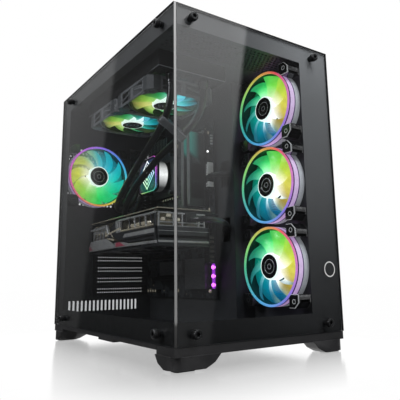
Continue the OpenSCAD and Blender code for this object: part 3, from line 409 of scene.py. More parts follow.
# pale glowing rims on the hub's rings: a painted highlight
RIM = surface("moulded_rim_painted_highlight", (0.55, 0.56, 0.57), 0.25, 0.0, 0.2, 0.1, 0.6, coat=0.3,
              glow=((0.8, 0.85, 0.85), 0.10))
BAND_GREY = surface("frosted_band", (0.62, 0.63, 0.66), 0.35, 0.0, 0.12, 0.12, 0.7, coat=0.2,
                    glow=((0.85, 0.88, 0.92), 0.22))
BAND_LIT = surface("lit_band", (0.7, 0.6, 0.7), 0.3, 0.0, 0.1, 0.08, 0.8,
                   glow=((0.76, 0.48, 0.90), 0.78))
GROOVE = surface("violet_groove", (0.03, 0.012, 0.05), 0.35, 0.0, 0.3, 0.1, 0.6,
                 glow=((0.12, 0.02, 0.3), 0.35))
FRAME_GREY = surface("grey_fan_frame", (0.10, 0.105, 0.11), 0.42, 0.0, 0.2, 0.2, 0.5)
METAL = surface("brushed_steel", (0.55, 0.56, 0.58), 0.28, 1.0, 0.12, 0.2, 0.6, stretch=(1, 9, 9))
# nickel whose glow is a painted highlight
NICKEL_PAINTED_HIGHLIGHT = surface("nickel_painted_highlight", (0.74, 0.70, 0.60), 0.22, 0.8, 0.1, 0.1, 0.6,
                 glow=((0.9, 0.8, 0.6), 0.24))
COPPER = surface("heat_pipe_copper", (0.80, 0.52, 0.25), 0.22, 1.0, 0.15, 0.12, 0.8)
BRASS = surface("brass", (0.72, 0.52, 0.22), 0.3, 1.0, 0.15, 0.15, 0.5)
CASTING = surface("drive_casting", (0.42, 0.43, 0.45), 0.42, 0.9, 0.15, 0.35, 0.8)
ALU = surface("dark_anodised_aluminium", (0.055, 0.057, 0.062), 0.36, 0.7, 0.15, 0.25, 0.35,
              stretch=(1, 1, 12))
ALU_PALE = surface("grey_aluminium", (0.20, 0.205, 0.215), 0.34, 0.6, 0.15, 0.25, 0.35,
                   stretch=(1, 1, 12))
SHROUD = surface("card_shroud_plastic", (0.030, 0.031, 0.034), 0.36, 0.0, 0.2, 0.18, 0.6)
# grey shroud plastic whose faint glow is painted light
SHROUD_GREY_PAINTED_LIGHT = surface("card_shroud_grey_painted_light", (0.34, 0.34, 0.34), 0.34, 0.3, 0.15, 0.2, 0.5,
                      glow=((0.5, 0.5, 0.48), 0.06))
ACCENT = surface("red_accent", (0.24, 0.05, 0.07), 0.4, 0.2, 0.2, 0.15, 0.6,
                 glow=((0.5, 0.06, 0.12), 0.30))
WHITE_PLASTIC = surface("white_connector", (0.62, 0.62, 0.60), 0.45, 0.0, 0.1, 0.15, 0.5)
CONNECTOR = surface("black_connector", (0.016, 0.016, 0.017), 0.4, 0.0, 0.25, 0.2, 0.4)
SHELL = surface("port_shell", (0.5, 0.5, 0.52), 0.3, 1.0, 0.12, 0.2, 0.4)
PCB = circuit("motherboard_mask", (0.016, 0.018, 0.022), (0.05, 0.055, 0.062))
CARD_PCB = circuit("card_mask", (0.012, 0.014, 0.016), (0.04, 0.045, 0.05), 1.8)
# radiator fins, with painted shade in the gaps between them
FINS = louvred("radiator_fins", (0.08, 0.082, 0.085), 1.6)
TUBE = sleeve("braided_sleeve", (0.010, 0.010, 0.011), (14, 1))
CABLE = sleeve("cable_sleeve", (0.012, 0.012, 0.013), (10, 1))
NET = mesh_sheet("filter_net", (0.03, 0.03, 0.032), 1.6, 0.30)

# colour round a lit ring, by the share of a turn from the object's own -X
SIDE_RING = [
    (0.00, (0.13, 0.42, 0.95)), (0.12, (0.28, 0.20, 0.85)), (0.22, (0.70, 0.26, 0.78)),
    (0.32, (0.92, 0.20, 0.48)), (0.41, (1.0, 0.10, 0.12)), (0.50, (0.92, 0.44, 0.08)),
    (0.58, (0.66, 0.72, 0.12)), (0.66, (0.32, 0.84, 0.20)), (0.75, (0.08, 0.62, 0.30)),
    (0.84, (0.03, 0.46, 0.50)), (0.92, (0.06, 0.46, 0.82)), (1.00, (0.13, 0.42, 0.95)),
]
SIDE_BLADES = [
    (0.00, (0.02, 0.16, 0.24)), (0.06, (0.16, 0.30, 0.28)), (0.10, (0.46, 0.44, 0.22)),
    (0.14, (0.42, 0.31, 0.04)), (0.19, (0.82, 0.68, 0.12)), (0.27, (0.82, 0.82, 0.09)),
    (0.35, (0.50, 0.86, 0.07)), (0.42, (0.20, 0.84, 0.08)), (0.50, (0.04, 0.66, 0.12)),
    (0.60, (0.010, 0.34, 0.13)), (0.68, (0.008, 0.23, 0.14)), (0.75, (0.010, 0.19, 0.16)),
    (0.85, (0.010, 0.18, 0.20)), (0.93, (0.014, 0.16, 0.24)), (1.00, (0.02, 0.16, 0.24)),
]
CORE_SIDE = [(0.0, 1.0), (0.08, 0.5), (0.14, 0.0), (0.42, 0.0), (0.56, 0.9), (0.90, 1.0),
             (1.0, 1.0)]
SIDE_GUARD = [
    (0.00, (0.00, 0.16, 0.34)), (0.10, (0.03, 0.26, 0.34)), (0.17, (0.36, 0.26, 0.02)),
    (0.26, (0.85, 0.85, 0.10)), (0.38, (0.30, 0.80, 0.06)), (0.50, (0.02, 0.50, 0.06)),
    (0.62, (0.00, 0.26, 0.08)), (0.75, (0.00, 0.36, 0.28)), (0.86, (0.00, 0.27, 0.36)),
    (1.00, (0.00, 0.16, 0.34)),
]
REAR_RING = [
    (0.00, (0.95, 0.12, 0.62)), (0.12, (1.0, 0.14, 0.22)), (0.25, (1.0, 0.45, 0.05)),
    (0.36, (0.85, 0.75, 0.06)), (0.45, (0.10, 0.80, 0.50)), (0.52, (0.04, 0.68, 0.90)),
    (0.62, (0.06, 0.32, 1.0)), (0.75, (0.36, 0.14, 1.0)), (0.88, (0.75, 0.14, 0.90)),
    (1.00, (0.95, 0.12, 0.62)),
]
REAR_BLADES = [
    (0.00, (0.80, 0.85, 0.08)), (0.12, (0.40, 0.85, 0.08)), (0.25, (0.03, 0.80, 0.14)),
    (0.38, (0.01, 0.72, 0.30)), (0.50, (0.006, 0.66, 0.58)), (0.62, (0.004, 0.50, 0.64)),
    (0.75, (0.04, 0.52, 0.56)), (0.88, (0.58, 0.68, 0.14)), (1.00, (0.80, 0.85, 0.08)),
]
TOP_BLADES = [
    (0.00, (0.45, 0.88, 0.08)), (0.10, (0.98, 0.98, 0.20)), (0.22, (0.50, 0.90, 0.12)),
    (0.34, (0.06, 0.66, 0.22)), (0.46, (0.01, 0.60, 0.56)), (0.60, (0.01, 0.46, 0.66)),
    (0.76, (0.01, 0.50, 0.44)), (0.88, (0.04, 0.60, 0.12)), (1.00, (0.45, 0.88, 0.08)),
]
BLADE_GLOW = [(16, 1.0), (26, 0.95), (40, 0.82), (56, 0.72)]
GUARD_GLOW = [(16, 1.0), (26, 0.90), (44, 0.60), (56, 0.34)]
TOP_GLOW = [(16, 1.0), (32, 0.95), (46, 0.42), (56, 0.08)]
HOT_SIDE = [(0.00, 0.40), (0.10, 1.0), (0.28, 0.95), (0.42, 0.40), (0.60, 0.08), (0.80, 0.03),
            (0.90, 0.12), (1.00, 0.40)]
HOT_ALL = [(0.0, 0.9), (0.12, 0.6), (0.25, 0.12), (0.60, 0.04), (0.75, 0.12), (0.88, 0.6),
           (1.0, 0.9)]
HOT_TOP = [(0.0, 0.12), (0.2, 0.28), (0.35, 0.22), (0.5, 0.15), (1.0, 0.12)]
RING_SIDE = glow_disc("side_ring_glow", SIDE_RING, [(40, 1), (60, 1)], 1.25, (0.3, 0.3, 0.3))
RING_REAR = glow_disc("rear_ring_glow", REAR_RING, [(40, 1), (60, 1)], 1.25, (0.5, 0.5, 0.5))
DIM, BLACKENED = (0.05, 0.06, 0.055), (0.02, 0.02, 0.02)
BLADE_SIDE = glow_disc("side_blade_glow", SIDE_BLADES, BLADE_GLOW, 1.95, DIM, white=HOT_SIDE,
                       core=CORE_SIDE)
BLADE_REAR = glow_disc("rear_blade_glow", REAR_BLADES, BLADE_GLOW, 1.9, DIM, white=HOT_ALL)
BLADE_TOP = glow_disc("top_blade_glow", TOP_BLADES, TOP_GLOW, 1.4, DIM, white=HOT_TOP)
# the finger guards' glow is painted light from the hub, on moulded rings that are no lamp
GUARD_SIDE = glow_disc("side_guard_painted_light", SIDE_GUARD, GUARD_GLOW, 2.3, BLACKENED, white=HOT_SIDE)
GUARD_REAR = glow_disc("rear_guard_painted_light", REAR_BLADES, GUARD_GLOW, 1.6, BLACKENED, white=HOT_ALL)
GUARD_TOP = glow_disc("top_guard_painted_light", TOP_BLADES, TOP_GLOW, 1.9, BLACKENED, white=HOT_TOP)
HALO = surface("hub_halo", (0.8, 0.85, 0.82), 0.3, 0.0, 0.1, 0.05, 0.8,
               glow=((0.85, 1.0, 0.92), 1.6))
BLADE_BLACK = surface("black_blade", (0.014, 0.014, 0.015), 0.3, 0.0, 0.2, 0.1, 0.7, coat=0.2)

# ---------------------------------------------------------------- mesh building


class Shape:
    """Vertices in millimetres, and faces with a material's place and optional UVs."""

    def __init__(self):
        self.verts, self.faces, self.mats, self.uvs = [], [], [], {}

    def add(self, verts, faces, mat=0, place=None, uvs=None):
        base = len(self.verts)
        for p in verts:
            p = Vector(p)
            self.verts.append(place @ p if place else p)
        for k, face in enumerate(faces):
            if uvs:
                self.uvs[len(self.faces)] = uvs[k]
            self.faces.append([i + base for i in face])
            self.mats.append(mat[k] if isinstance(mat, (list, tuple)) else mat)
        return self

    def block(self, low, high, bevel=0.4, mat=0, place=None, edge_mat=None):
        """A box with chamfered edges."""
        bevel = min([bevel] + [(h - l) * 0.45 for l, h in zip(low, high)])
        rim = mat if edge_mat is None else edge_mat
        verts, corner, faces, mats = [], {}, [], []

        def signs(axis, along, a, b):
            s = [a, b]
            s.insert(axis, along)
            return tuple(s)

        for s in product((0, 1), repeat=3):
            for axis in range(3):
                p = [high[i] if s[i] else low[i] for i in range(3)]
                for i in range(3):
                    if i != axis:
                        p[i] += -bevel if s[i] else bevel
                corner[s, axis] = len(verts)
                verts.append(p)
        for axis in range(3):
            u, v = [i for i in range(3) if i != axis]
            for side in (0, 1):
                faces.append([corner[signs(axis, side, a, b), axis]
                              for a, b in ((0, 0), (1, 0), (1, 1), (0, 1))])
                mats.append(mat)
            for a, b in product((0, 1), repeat=2):
                s, t = signs(axis, 0, a, b), signs(axis, 1, a, b)
                faces.append([corner[s, u], corner[s, v], corner[t, v], corner[t, u]])
                mats.append(rim)
        for s in product((0, 1), repeat=3):
            faces.append([corner[s, axis] for axis in range(3)])
            mats.append(rim)
        return self.add(verts, faces, mats, place)

    def loft(self, rings, mat=0, place=None, caps=True, closed=False, uv=None):
        """Quads between rings of equal length. mat may be a list, one for each gap."""
        count = len(rings[0])
        verts = [p for ring in rings for p in ring]
        faces, mats, uvs = [], [], []
        gaps = len(rings) if closed else len(rings) - 1
        for i in range(gaps):
            for k in range(count):
                a, b = i * count, (i + 1) % len(rings) * count
                faces.append([a + k, a + (k + 1) % count, b + (k + 1) % count, b + k])
                mats.append(mat[i] if isinstance(mat, (list, tuple)) else mat)
                if uv:
                    u0, u1 = k / count, (k + 1) / count
                    uvs.append([(u0, uv[i]), (u1, uv[i]), (u1, uv[i + 1]), (u0, uv[i + 1])])
        if caps and not closed:
            for ring, m in ((0, 0), (len(rings) - 1, -1)):
                faces.append([ring * count + k for k in range(count)])
                mats.append(mat[m] if isinstance(mat, (list, tuple)) else mat)
                if uv:
                    uvs.append([(0, 0)] * count)
        return self.add(verts, faces, mats, place, uvs or None)

    def lathe(self, profile, sides=48, mat=0, place=None, closed=False, ripple=None):
        """A profile of (radius, height) turned round Z. ripple scales a radius by angle."""
        rings = []
        for r, z in profile:
            ring = []
            for k in range(sides):
                a = 2 * math.pi * k / sides
                rr = ripple(r, z, a) if ripple else r
                ring.append((rr * math.cos(a), rr * math.sin(a), z))
            rings.append(ring)
        return self.loft(rings, mat, place, caps=not closed, closed=closed)

    def tube(self, path, radius, sides=16, mat=0, uv_length=None):
        """A round tube along a path, with rounded UVs for its sleeving."""
        path = [Vector(p) for p in path]
        rings, along, total = [], [0.0], 0.0
        side = None
        for i, p in enumerate(path):
            ahead = (path[min(i + 1, len(path) - 1)] - path[max(i - 1, 0)]).normalized()
            if side is None:
                side = ahead.orthogonal().normalized()
            side = (side - side.dot(ahead) * ahead).normalized()
            across = ahead.cross(side)
            r = radius[i] if isinstance(radius, list) else radius
            rings.append([p + r * (math.cos(a) * side + math.sin(a) * across)
                          for a in (2 * math.pi * k / sides for k in range(sides))])
            if i:
                total += (p - path[i - 1]).length
                along.append(total)
        uv = [a / (uv_length or 10.0) for a in along]
        return self.loft(rings, mat, uv=uv)

    def plate(self, outline, z0, z1, bevel=0.3, mat=0, place=None, rim=None):
        """A flat plate from an outline of (x, y), with a chamfer round both faces."""
        inset = inset_outline(outline, bevel)
        rings = [[(x, y, z0) for x, y in inset], [(x, y, z0 + bevel) for x, y in outline],
                 [(x, y, z1 - bevel) for x, y in outline], [(x, y, z1) for x, y in inset]]
        edge = mat if rim is None else rim
        count = len(outline)
        self.loft(rings, [edge, mat, edge], place, caps=False)
        verts = [rings[0][k] for k in range(count)] + [rings[3][k] for k in range(count)]
        return self.add(verts, [list(range(count)), list(range(count, 2 * count))], mat, place)


def inset_outline(outline, distance):
    """The outline moved inwards by a distance, for a counter-clockwise outline."""
    area = sum(a[0] * b[1] - b[0] * a[1] for a, b in zip(outline, outline[1:] + outline[:1]))
    sign = 1 if area > 0 else -1
    moved = []
    for i, p in enumerate(outline):
        a, b = Vector(outline[i - 1]), Vector(outline[(i + 1) % len(outline)])
        p = Vector(p)
        d1, d2 = (p - a).normalized(), (b - p).normalized()
        n1, n2 = Vector((-d1.y, d1.x)) * sign, Vector((-d2.y, d2.x)) * sign
        bisector = n1 + n2
        if bisector.length < 1e-6:
            moved.append(tuple(p + n1 * distance))
            continue
        bisector.normalize()
        moved.append(tuple(p + bisector * distance / max(0.35, bisector.dot(n1))))
    return moved


def arc(radius, start, end, steps, centre=(0, 0)):
    """Points on an arc between two angles in degrees."""
    angles = (math.radians(start + (end - start) * k / steps) for k in range(steps + 1))
    return [(centre[0] + radius * math.cos(a), centre[1] + radius * math.sin(a)) for a in angles]


def round_square(width, radius):
    """A square's outline with rounded corners, counter-clockwise."""
    reach = width / 2 - radius
    return [p for k, (x, y) in enumerate(((1, 1), (-1, 1), (-1, -1), (1, -1)))
            for p in arc(radius, 90 * k, 90 * k + 90, 5, (x * reach, y * reach))]


def smooth_edges(mesh, angle):
    """Smooth shading, with edges that stay sharp above an angle."""
    mesh.polygons.foreach_set("use_smooth", [True] * len(mesh.polygons))
    mesh.set_sharp_from_angle(angle=math.radians(angle))


def new_object(name, mesh, mats=()):
    for m in (mats if isinstance(mats, (list, tuple)) else [mats]):
        mesh.materials.append(m)
    obj = bpy.data.objects.new(name, mesh)
    bpy.context.scene.collection.objects.link(obj)
    return obj


def settle(obj, body, node):
    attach(obj, body)
    if node:
        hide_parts(node)
    return obj


def piece(name, shape, mats, body="root", node=(), at=None, angle=32):
    """A finished object from a shape, riding on a CAD body."""
    mesh = bpy.data.meshes.new(name)
    mesh.from_pydata([v * MM for v in shape.verts], [], shape.faces)
    obj = new_object(name, mesh, mats)
    mesh.polygons.foreach_set("material_index", shape.mats)
    if shape.uvs:
        layer = mesh.uv_layers.new(name="UVMap")
        for face, corners in shape.uvs.items():
            start = mesh.polygons[face].loop_start
            for k, uv in enumerate(corners):
                layer.data[start + k].uv = uv
    bm = bmesh.new()
    bm.from_mesh(mesh)
    bmesh.ops.dissolve_degenerate(bm, dist=1e-7, edges=bm.edges)
    bmesh.ops.recalc_face_normals(bm, faces=bm.faces)
    bm.to_mesh(mesh)
    bm.free()
    smooth_edges(mesh, angle)
    if at is not None:
        obj.matrix_world = at
    return settle(obj, body, node)


def softened(name, node, mats, body="root", width=0.4, pick=None, rounded=-1):
    """A copy of a CAD node's surface with rounded edges, which replaces it.

    pick gives a face's material place from its centre and normal, and rounded is the
    material place of the rounded edges.
    """
    mesh = bpy.data.meshes.new(name)
    bm = bmesh.new()
    bm.from_mesh(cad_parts[node].data)
    bmesh.ops.remove_doubles(bm, verts=bm.verts, dist=1e-6)
    bmesh.ops.dissolve_limit(bm, angle_limit=math.radians(0.5), verts=bm.verts, edges=bm.edges)
    for face in bm.faces:
        face.material_index = pick(face.calc_center_median() / MM, face.normal) if pick else 0
    bm.to_mesh(mesh)
    bm.free()
    obj = new_object(name, mesh, mats)
    smooth_edges(mesh, 32)
    if width:
        bevel = obj.modifiers.new("edges", "BEVEL")
        bevel.width, bevel.segments, bevel.material = width * MM, 2, rounded
        bevel.limit_method, bevel.angle_limit = "ANGLE", math.radians(40)
        bevel.harden_normals = False
    return settle(obj, body, node)


def dress(node, material):
    """Gives a CAD node that stays a finished material."""
    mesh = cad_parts[node].data
    mesh.materials.clear()
    mesh.materials.append(material)


# ---------------------------------------------------------------- case

softened("plinth_moulding", "plinth", PLINTH, width=0.9)
softened("foot_pads_rubber", "foot_pads", RUBBER, width=0.5)
softened("bottom_filter_frame", "bottom_filter", [PLINTH, NET],
         body="bottom_filter", width=0.0,
         pick=lambda c, n: 1 if abs(n.z) > 0.9 and 24 < c.z < 26.6 and abs(c.x) < 135 else 0)
softened("floor_sheet", "floor_panel", STEEL, width=0.25)
dress("rear_wall", STEEL_PALE)
dress("top_frame", STEEL_PALE)
softened("board_tray", "motherboard_tray", STEEL_PALE, width=0.2)
softened("fan_wall", "fan_bracket", STEEL, width=0.25)
softened("front_pillar_sheet", "front_pillar", STEEL, width=0.25)
softened("top_moulding", "top_cover", PLINTH, width=0.5)
softened("top_filter_frame", "top_filter", [PLINTH, NET], body="top_filter",
         width=0.0,
         pick=lambda c, n: 1 if (abs(n.z) > 0.9 and c.z < TOP - 0.6 and abs(c.y) < 180
                                 and abs(c.x - LEFT - 129) < 100) else 0)
softened("right_steel_panel", "right_panel", STEEL, body="right_panel", width=0.3)
dress("slot_covers", STEEL)
dress("io_ports", SHELL)


def pane_faces(axis, near):
    """Clear faces, the bare ground edge with painted light at the near corner and dark edges
    elsewhere.
    """
    return lambda c, n: 0 if abs(n[axis]) > 0.9 else 1 if n[near] < -0.9 else 2


PANE = [GLASS_MAT, EDGE, EDGE_DARK]
softened("left_glass_pane", "left_glass", PANE, body="left_glass",
         width=0.3, pick=pane_faces(0, 1), rounded=2)
softened("front_glass_pane", "front_glass", PANE, body="front_glass",
         width=0.3, pick=pane_faces(1, 0), rounded=2)


def prism(shape, low, high):
    """A solid between two like outlines."""
    sides = [(k, (k + 1) % 4, (k + 1) % 4 + 4, k + 4) for k in range(4)]
    shape.add([*low, *high], [(0, 1, 2, 3), (4, 5, 6, 7), *sides])


def border(name, body, outer, inner, place):
    """The printed border on a pane's inner face, with painted light on it, around a window that is
    open at its low end.
    """
    (u0, v0, u1, v1), (_, b0, a1, b1) = outer, inner
    shape = Shape()
    for p, q, r, t in ((u0, v0, u1, b0), (u0, b1, u1, v1), (a1, b0, u1, b1)):
        low = [place(p, q), place(r, q), place(r, t), place(p, t)]
        print_thickness = place(0, 0, 0.12) - place(0, 0)
        prism(shape, low, [c + print_thickness for c in low])
    return piece(name, shape, PRINT, body)


INSIDE = GLASS + 0.03
border("left_glass_border", "left_glass", (FRONT + 0.4, BASE + 0.4, BACK - 0.4, TOP - 0.4),
       (FRONT + 0.4, BASE + 27, BACK - 34, TOP - 28),
       lambda u, v, w=0: Vector((LEFT + INSIDE + w, u, v)))
border("front_glass_border", "front_glass", (INNER_X + 0.3, BASE + 0.4, RIGHT - 0.4, TOP - 0.4),
       (INNER_X + 0.3, BASE + 27, RIGHT - 58, TOP - 28),
       lambda u, v, w=0: Vector((u, FRONT + INSIDE + w, v)))

# a plain ring printed low on the front glass
shape = Shape()
shape.lathe([(9.6, 0), (11.2, 0), (11.2, 0.1), (9.6, 0.1)], 64, 0,
            shifted(124, FRONT - 0.12, 116, -90), closed=True)
PALE_PRINT = surface("pale_print", (0.42, 0.42, 0.42), 0.5, 0.0, 0.05, 0.05, 0.5)
piece("printed_ring", shape, PALE_PRINT, "front_glass")


def thumbscrew(shape, grip, place):
    """A knurled thumbscrew along +Z with its seat at z = 0 and a six-lobed recess."""

    def knurl(r, z, a):
        if r > 5.6:
            return r + 0.16 * math.cos(24 * a)
        if 0.2 < r < 3.0 and z < -5:
            return r + 0.35 * math.cos(6 * a)
        return r

    head = [(0.05, -5.4), (2.3, -5.4), (2.45, -8.8), (2.8, -9.0), (4.9, -9.0), (5.3, -8.8),
            (5.75, -8.3), (5.8, -2.6), (5.3, -2.1), (4.95, -2.0), (4.95, 0.0), (2.0, 0.0)]
    mats = [0, 0, 1, 1, 1, 1, 0, 0, 0, 0, 0]
    thread = []
    z, pitch = 0.1, 0.7
    while z < grip + 7.2:
        thread += [(2.0, z), (1.75, z + pitch / 2)]
        z += pitch
    thread += [(1.6, grip + 7.8), (0.05, grip + 8.0)]
    shape.lathe(head + thread, 72, mats + [0] * len(thread), place, ripple=knurl)


for panel, grip, way, places in (
        ("left_glass", GLASS, "right", [(LEFT, y, z) for y in SCREW_Y for z in SCREW_Z]),
        ("front_glass", GLASS, "back", [(x, FRONT, z) for x in SCREW_X for z in SCREW_Z]),
        ("right_panel", 0, "front", [(RIGHT - 9.5, BACK, z) for z in PANEL_SCREW_Z])):
    shape = Shape()
    for place in places:
        thumbscrew(shape, grip, facing(way, place, 1))
    piece(f"{panel}_thumbscrews", shape, [SCREW, SCREW_FACE], panel,
          f"{panel}_screws", angle=38)

# controls on the top cover
softened("power_cap", "power_button", GLOSS, body="power_button", width=0.5)
softened("reset_cap", "reset_button", GLOSS, body="reset_button", width=0.4)

# ---------------------------------------------------------------- fans

POST_BLACK = surface("fan_frame_black", (0.010, 0.010, 0.011), 0.22, 0.0, 0.2, 0.06, 0.8, coat=0.7)
# painted highlight and painted shade for the corner posts: pale glowing copies for posts in the
# light, a dim copy for the others
POST_RIM_HIGHLIGHT = surface("fan_frame_edge", (0.50, 0.50, 0.50), 0.3, 0.0, 0.2, 0.1, 0.6, coat=0.3,
                   glow=((0.8, 0.8, 0.8), 0.28))
POST_RIM_SHADE = surface("fan_frame_rim_painted_shade", (0.03, 0.03, 0.032), 0.3, 0.0, 0.2, 0.1, 0.6)
POST_FACE_HIGHLIGHT = surface("fan_frame_face_painted_highlight", (0.30, 0.30, 0.31), 0.3, 0.0, 0.2, 0.1, 0.6, coat=0.3,
                   glow=((0.8, 0.8, 0.8), 0.14))
FRAME_PALE = surface("pale_grey_frame", (0.20, 0.205, 0.215), 0.4, 0.0, 0.15, 0.15, 0.5)

# places of a fan frame's materials
BLACK, PALE_BAND, VIOLET, LIT_BAND, GREY, EDGE_HIGHLIGHT_PALE, GUARD, EDGE_SHADED, FACE_MID_HIGHLIGHT = range(9)
BAND = [(57.0, 0.3), (59.3, 0.0), (59.7, 0.4), (59.7, 10.4), (59.1, 10.7), (59.1, 11.9),
        (59.7, 12.2), (59.7, 20.6), (59.1, 20.9), (59.1, 22.2), (57.0, 22.2)]
BAND_MATS = [PALE_BAND] * 3 + [VIOLET] * 3 + [LIT_BAND, VIOLET, VIOLET, BLACK, BLACK]


def post_outline():
    """A corner post: chamfered outside and cut round by the fan's bore inside."""
    start = math.degrees(math.atan2(44.2, 40.2))
    return [(60, 40.2), (60, 52.0), (52.0, 60), (40.2, 60)] + arc(59.8, start, 90 - start, 8)


def fan_frame(name, node, at, guard, lit=True, pale=(2, 3)):
    """A fan's frame, 120 mm square. lit gives it a lit band, and pale lists the posts with painted
    highlights; the others get painted shade on their edges.
    """
    shape = Shape()
    shape.lathe(BAND, 96, BAND_MATS if lit else [GREY] * 10 + [BLACK], closed=True)
    quarters = [shifted(0, 0, 0, 90 * k, "Z") for k in range(4)]
    for k, turn in enumerate(quarters):
        # painted highlight on the rims of posts in the light, painted shade on the others
        rim = EDGE_HIGHLIGHT_PALE if k in pale else EDGE_SHADED
        post, edge = (BLACK, rim) if lit else (GREY, GREY)
        shape.plate(post_outline(), 0.05, 24.95, 1.0, post, turn, edge)
        # sleeved screw hole on both faces
        for z, s in ((24.9, 1), (0.1, -1)):
            shape.lathe([(0.05, z - 1.2 * s), (1.9, z - 1.2 * s), (2.2, z), (2.6, z + 0.08 * s),
                         (3.5, z + 0.08 * s), (3.8, z - 0.3 * s)], 24,
                        [BLACK, BLACK, rim, rim, BLACK], turn @ shifted(50.6, 50.6, 0))
        if lit and k in pale:
            # polished face of the post with a painted highlight, palest at its upper end
            x = 0 if k == 3 else -92.8
            for low, high, mat in ((41.2, 45.0, GREY), (45.0, 48.4, FACE_MID_HIGHLIGHT),
                                   (48.4, 51.6, EDGE_HIGHLIGHT_PALE)):
                shape.block((x + low, -60.0, 2.6), (x + high, -59.8, 22.4), 0.05, mat)
            for z in (1.2, 22.6):
                shape.block((x + 41.0, -60.0, z), (x + 51.8, -59.7, z + 1.2), 0.05, EDGE_HIGHLIGHT_PALE)
    if not lit:
        # square walls with openings between the corner posts
        for turn in quarters:
            for y, z0, z1 in ((42, 0, 4.2), (42, 20.8, 25), (4.5, 4, 21)):
                shape.block((57.6, -y, z0), (59.9, y, z1), 0.5, EDGE_HIGHLIGHT_PALE, turn)
            for side in (-1, 1):
                low, high = sorted((side * 42, side * 36))
                shape.block((57.6, low, 4), (59.9, high, 21), 0.5, EDGE_HIGHLIGHT_PALE, turn)
                for j in range(6):
                    low, high = sorted((side * (8 + j * 5), side * (13.2 + j * 5)))
                    shape.block((58.0, low, 9.5 + j), (59.6, high, 11.6 + j), 0.3, EDGE_HIGHLIGHT_PALE, turn)
    # motor base with four swept struts, which on lit fans carry the guard's painted light
    shape.lathe([(1.6, 4.0), (6, 4.2), (19.6, 4.0), (20.4, 3.4), (20.4, 0.4), (19.8, 0.0),
                 (1.6, 0)], 48, BLACK, closed=True)
    for k in range(4):
        rings = []
        for j in range(7):
            turn = shifted(0, 0, 0, 45 + 90 * k + (j - 6) * 2.2, "Z")
            rings.append([turn @ Vector((19 + j * 6.5, y * 1.9, z)) for y, z in (
                (-1, 0.3), (-0.7, 0.05), (0.7, 0.05), (1, 0.3), (0.8, 3.0), (-0.8, 3.0))])
        shape.loft(rings, GUARD if lit else BLACK)
    # moulded finger guard: fine rings behind the blades, with the hub's light painted on them as a
    # glow
    for k in range(14):
        r = 22.0 + k * 2.55
        shape.lathe([(r, 3.0), (r + 1.75, 3.0), (r + 1.75, 4.4), (r, 4.4)], 64, GUARD, closed=True)
    return piece(name, shape, [POST_BLACK, BAND_GREY, GROOVE, BAND_LIT, FRAME_GREY,
                               POST_RIM_HIGHLIGHT if lit else FRAME_PALE, guard, POST_RIM_SHADE, POST_FACE_HIGHLIGHT],
                 node=node, at=at)


def ring(name, material, at, node=()):
    shape = Shape()
    shape.lathe([(56.2, 22.7), (57.2, 22.4), (59.2, 22.4), (59.7, 23.0), (59.7, 24.3),
                 (59.1, 24.9), (57.4, 24.95), (56.4, 24.4)], 128, 0, closed=True)
    return piece(name, shape, material, node=node, at=at)


def blades(shape, count, hub, tip, chord, pitch, sweep, mid, thick, steps=9, camber=0.09):
    """Curved blades: thin cambered sections from the hub to the tip."""
    section = [(s, 1) for s in (-0.5, -0.3, -0.1, 0.1, 0.3, 0.5)]
    section += [(s, -1) for s in (0.42, 0.2, 0, -0.2, -0.42)]
    for k in range(count):
        rings = []
        for t in (i / steps for i in range(steps + 1)):
            r = hub - 1.5 + (tip - hub + 1.5) * t
            width = chord[0] + (chord[1] - chord[0]) * math.sin(t * math.pi / 2)
            if t > 0.8:
                width *= 1 - 0.9 * (t - 0.8) ** 2 * 4
            p = math.radians(pitch[0] + (pitch[1] - pitch[0]) * t)
            centre = 2 * math.pi * k / count + math.radians(sweep) * t ** 1.6
            points = []
            for s, face in section:
                rise = (camber * width * (1 - (2 * s) ** 2)
                        + thick * (1 - (2 * abs(s)) ** 4 * 0.75) / 2 * face)
                a = centre + (s * width * math.cos(p) - rise * math.sin(p)) / r
                up = s * width * math.sin(p) + rise * math.cos(p)
                points.append((r * math.cos(a), r * math.sin(a), mid + up))
            rings.append(points)
        shape.loft(rings)


def rotor(name, node, at, glow):
    shape = Shape()
    # the hub's pale rings carry a painted highlight
    shape.lathe([(1.4, 5.6), (19.6, 5.6), (20.4, 6.4), (20.5, 20.5), (20.1, 23.0), (19.4, 23.8),
                 (17.9, 24.0), (17.5, 23.4), (17.1, 23.4), (16.8, 23.9), (11.4, 23.95),
                 (11.0, 23.5), (10.2, 23.5), (9.8, 23.95), (4.6, 23.98), (4.2, 23.6),
                 (3.4, 23.6), (3.0, 23.98), (0.05, 24.0)], 72,
                [1, 1, 2, 2, 2, 2, 1, 1, 1, 1, 1, 3, 1, 1, 1, 3, 1, 1])
    shape.lathe([(0.05, 0.6), (1.4, 0.6), (1.4, 6.0), (0.05, 6.0)], 16, 4)
    blades(shape, 9, 20.4, 54.3, (17, 31), (40, 24), 27, 14.6, 1.5)
    return piece(name, shape, [glow, GLOSS, HALO, RIM, METAL], node, node, at,
                 angle=50)


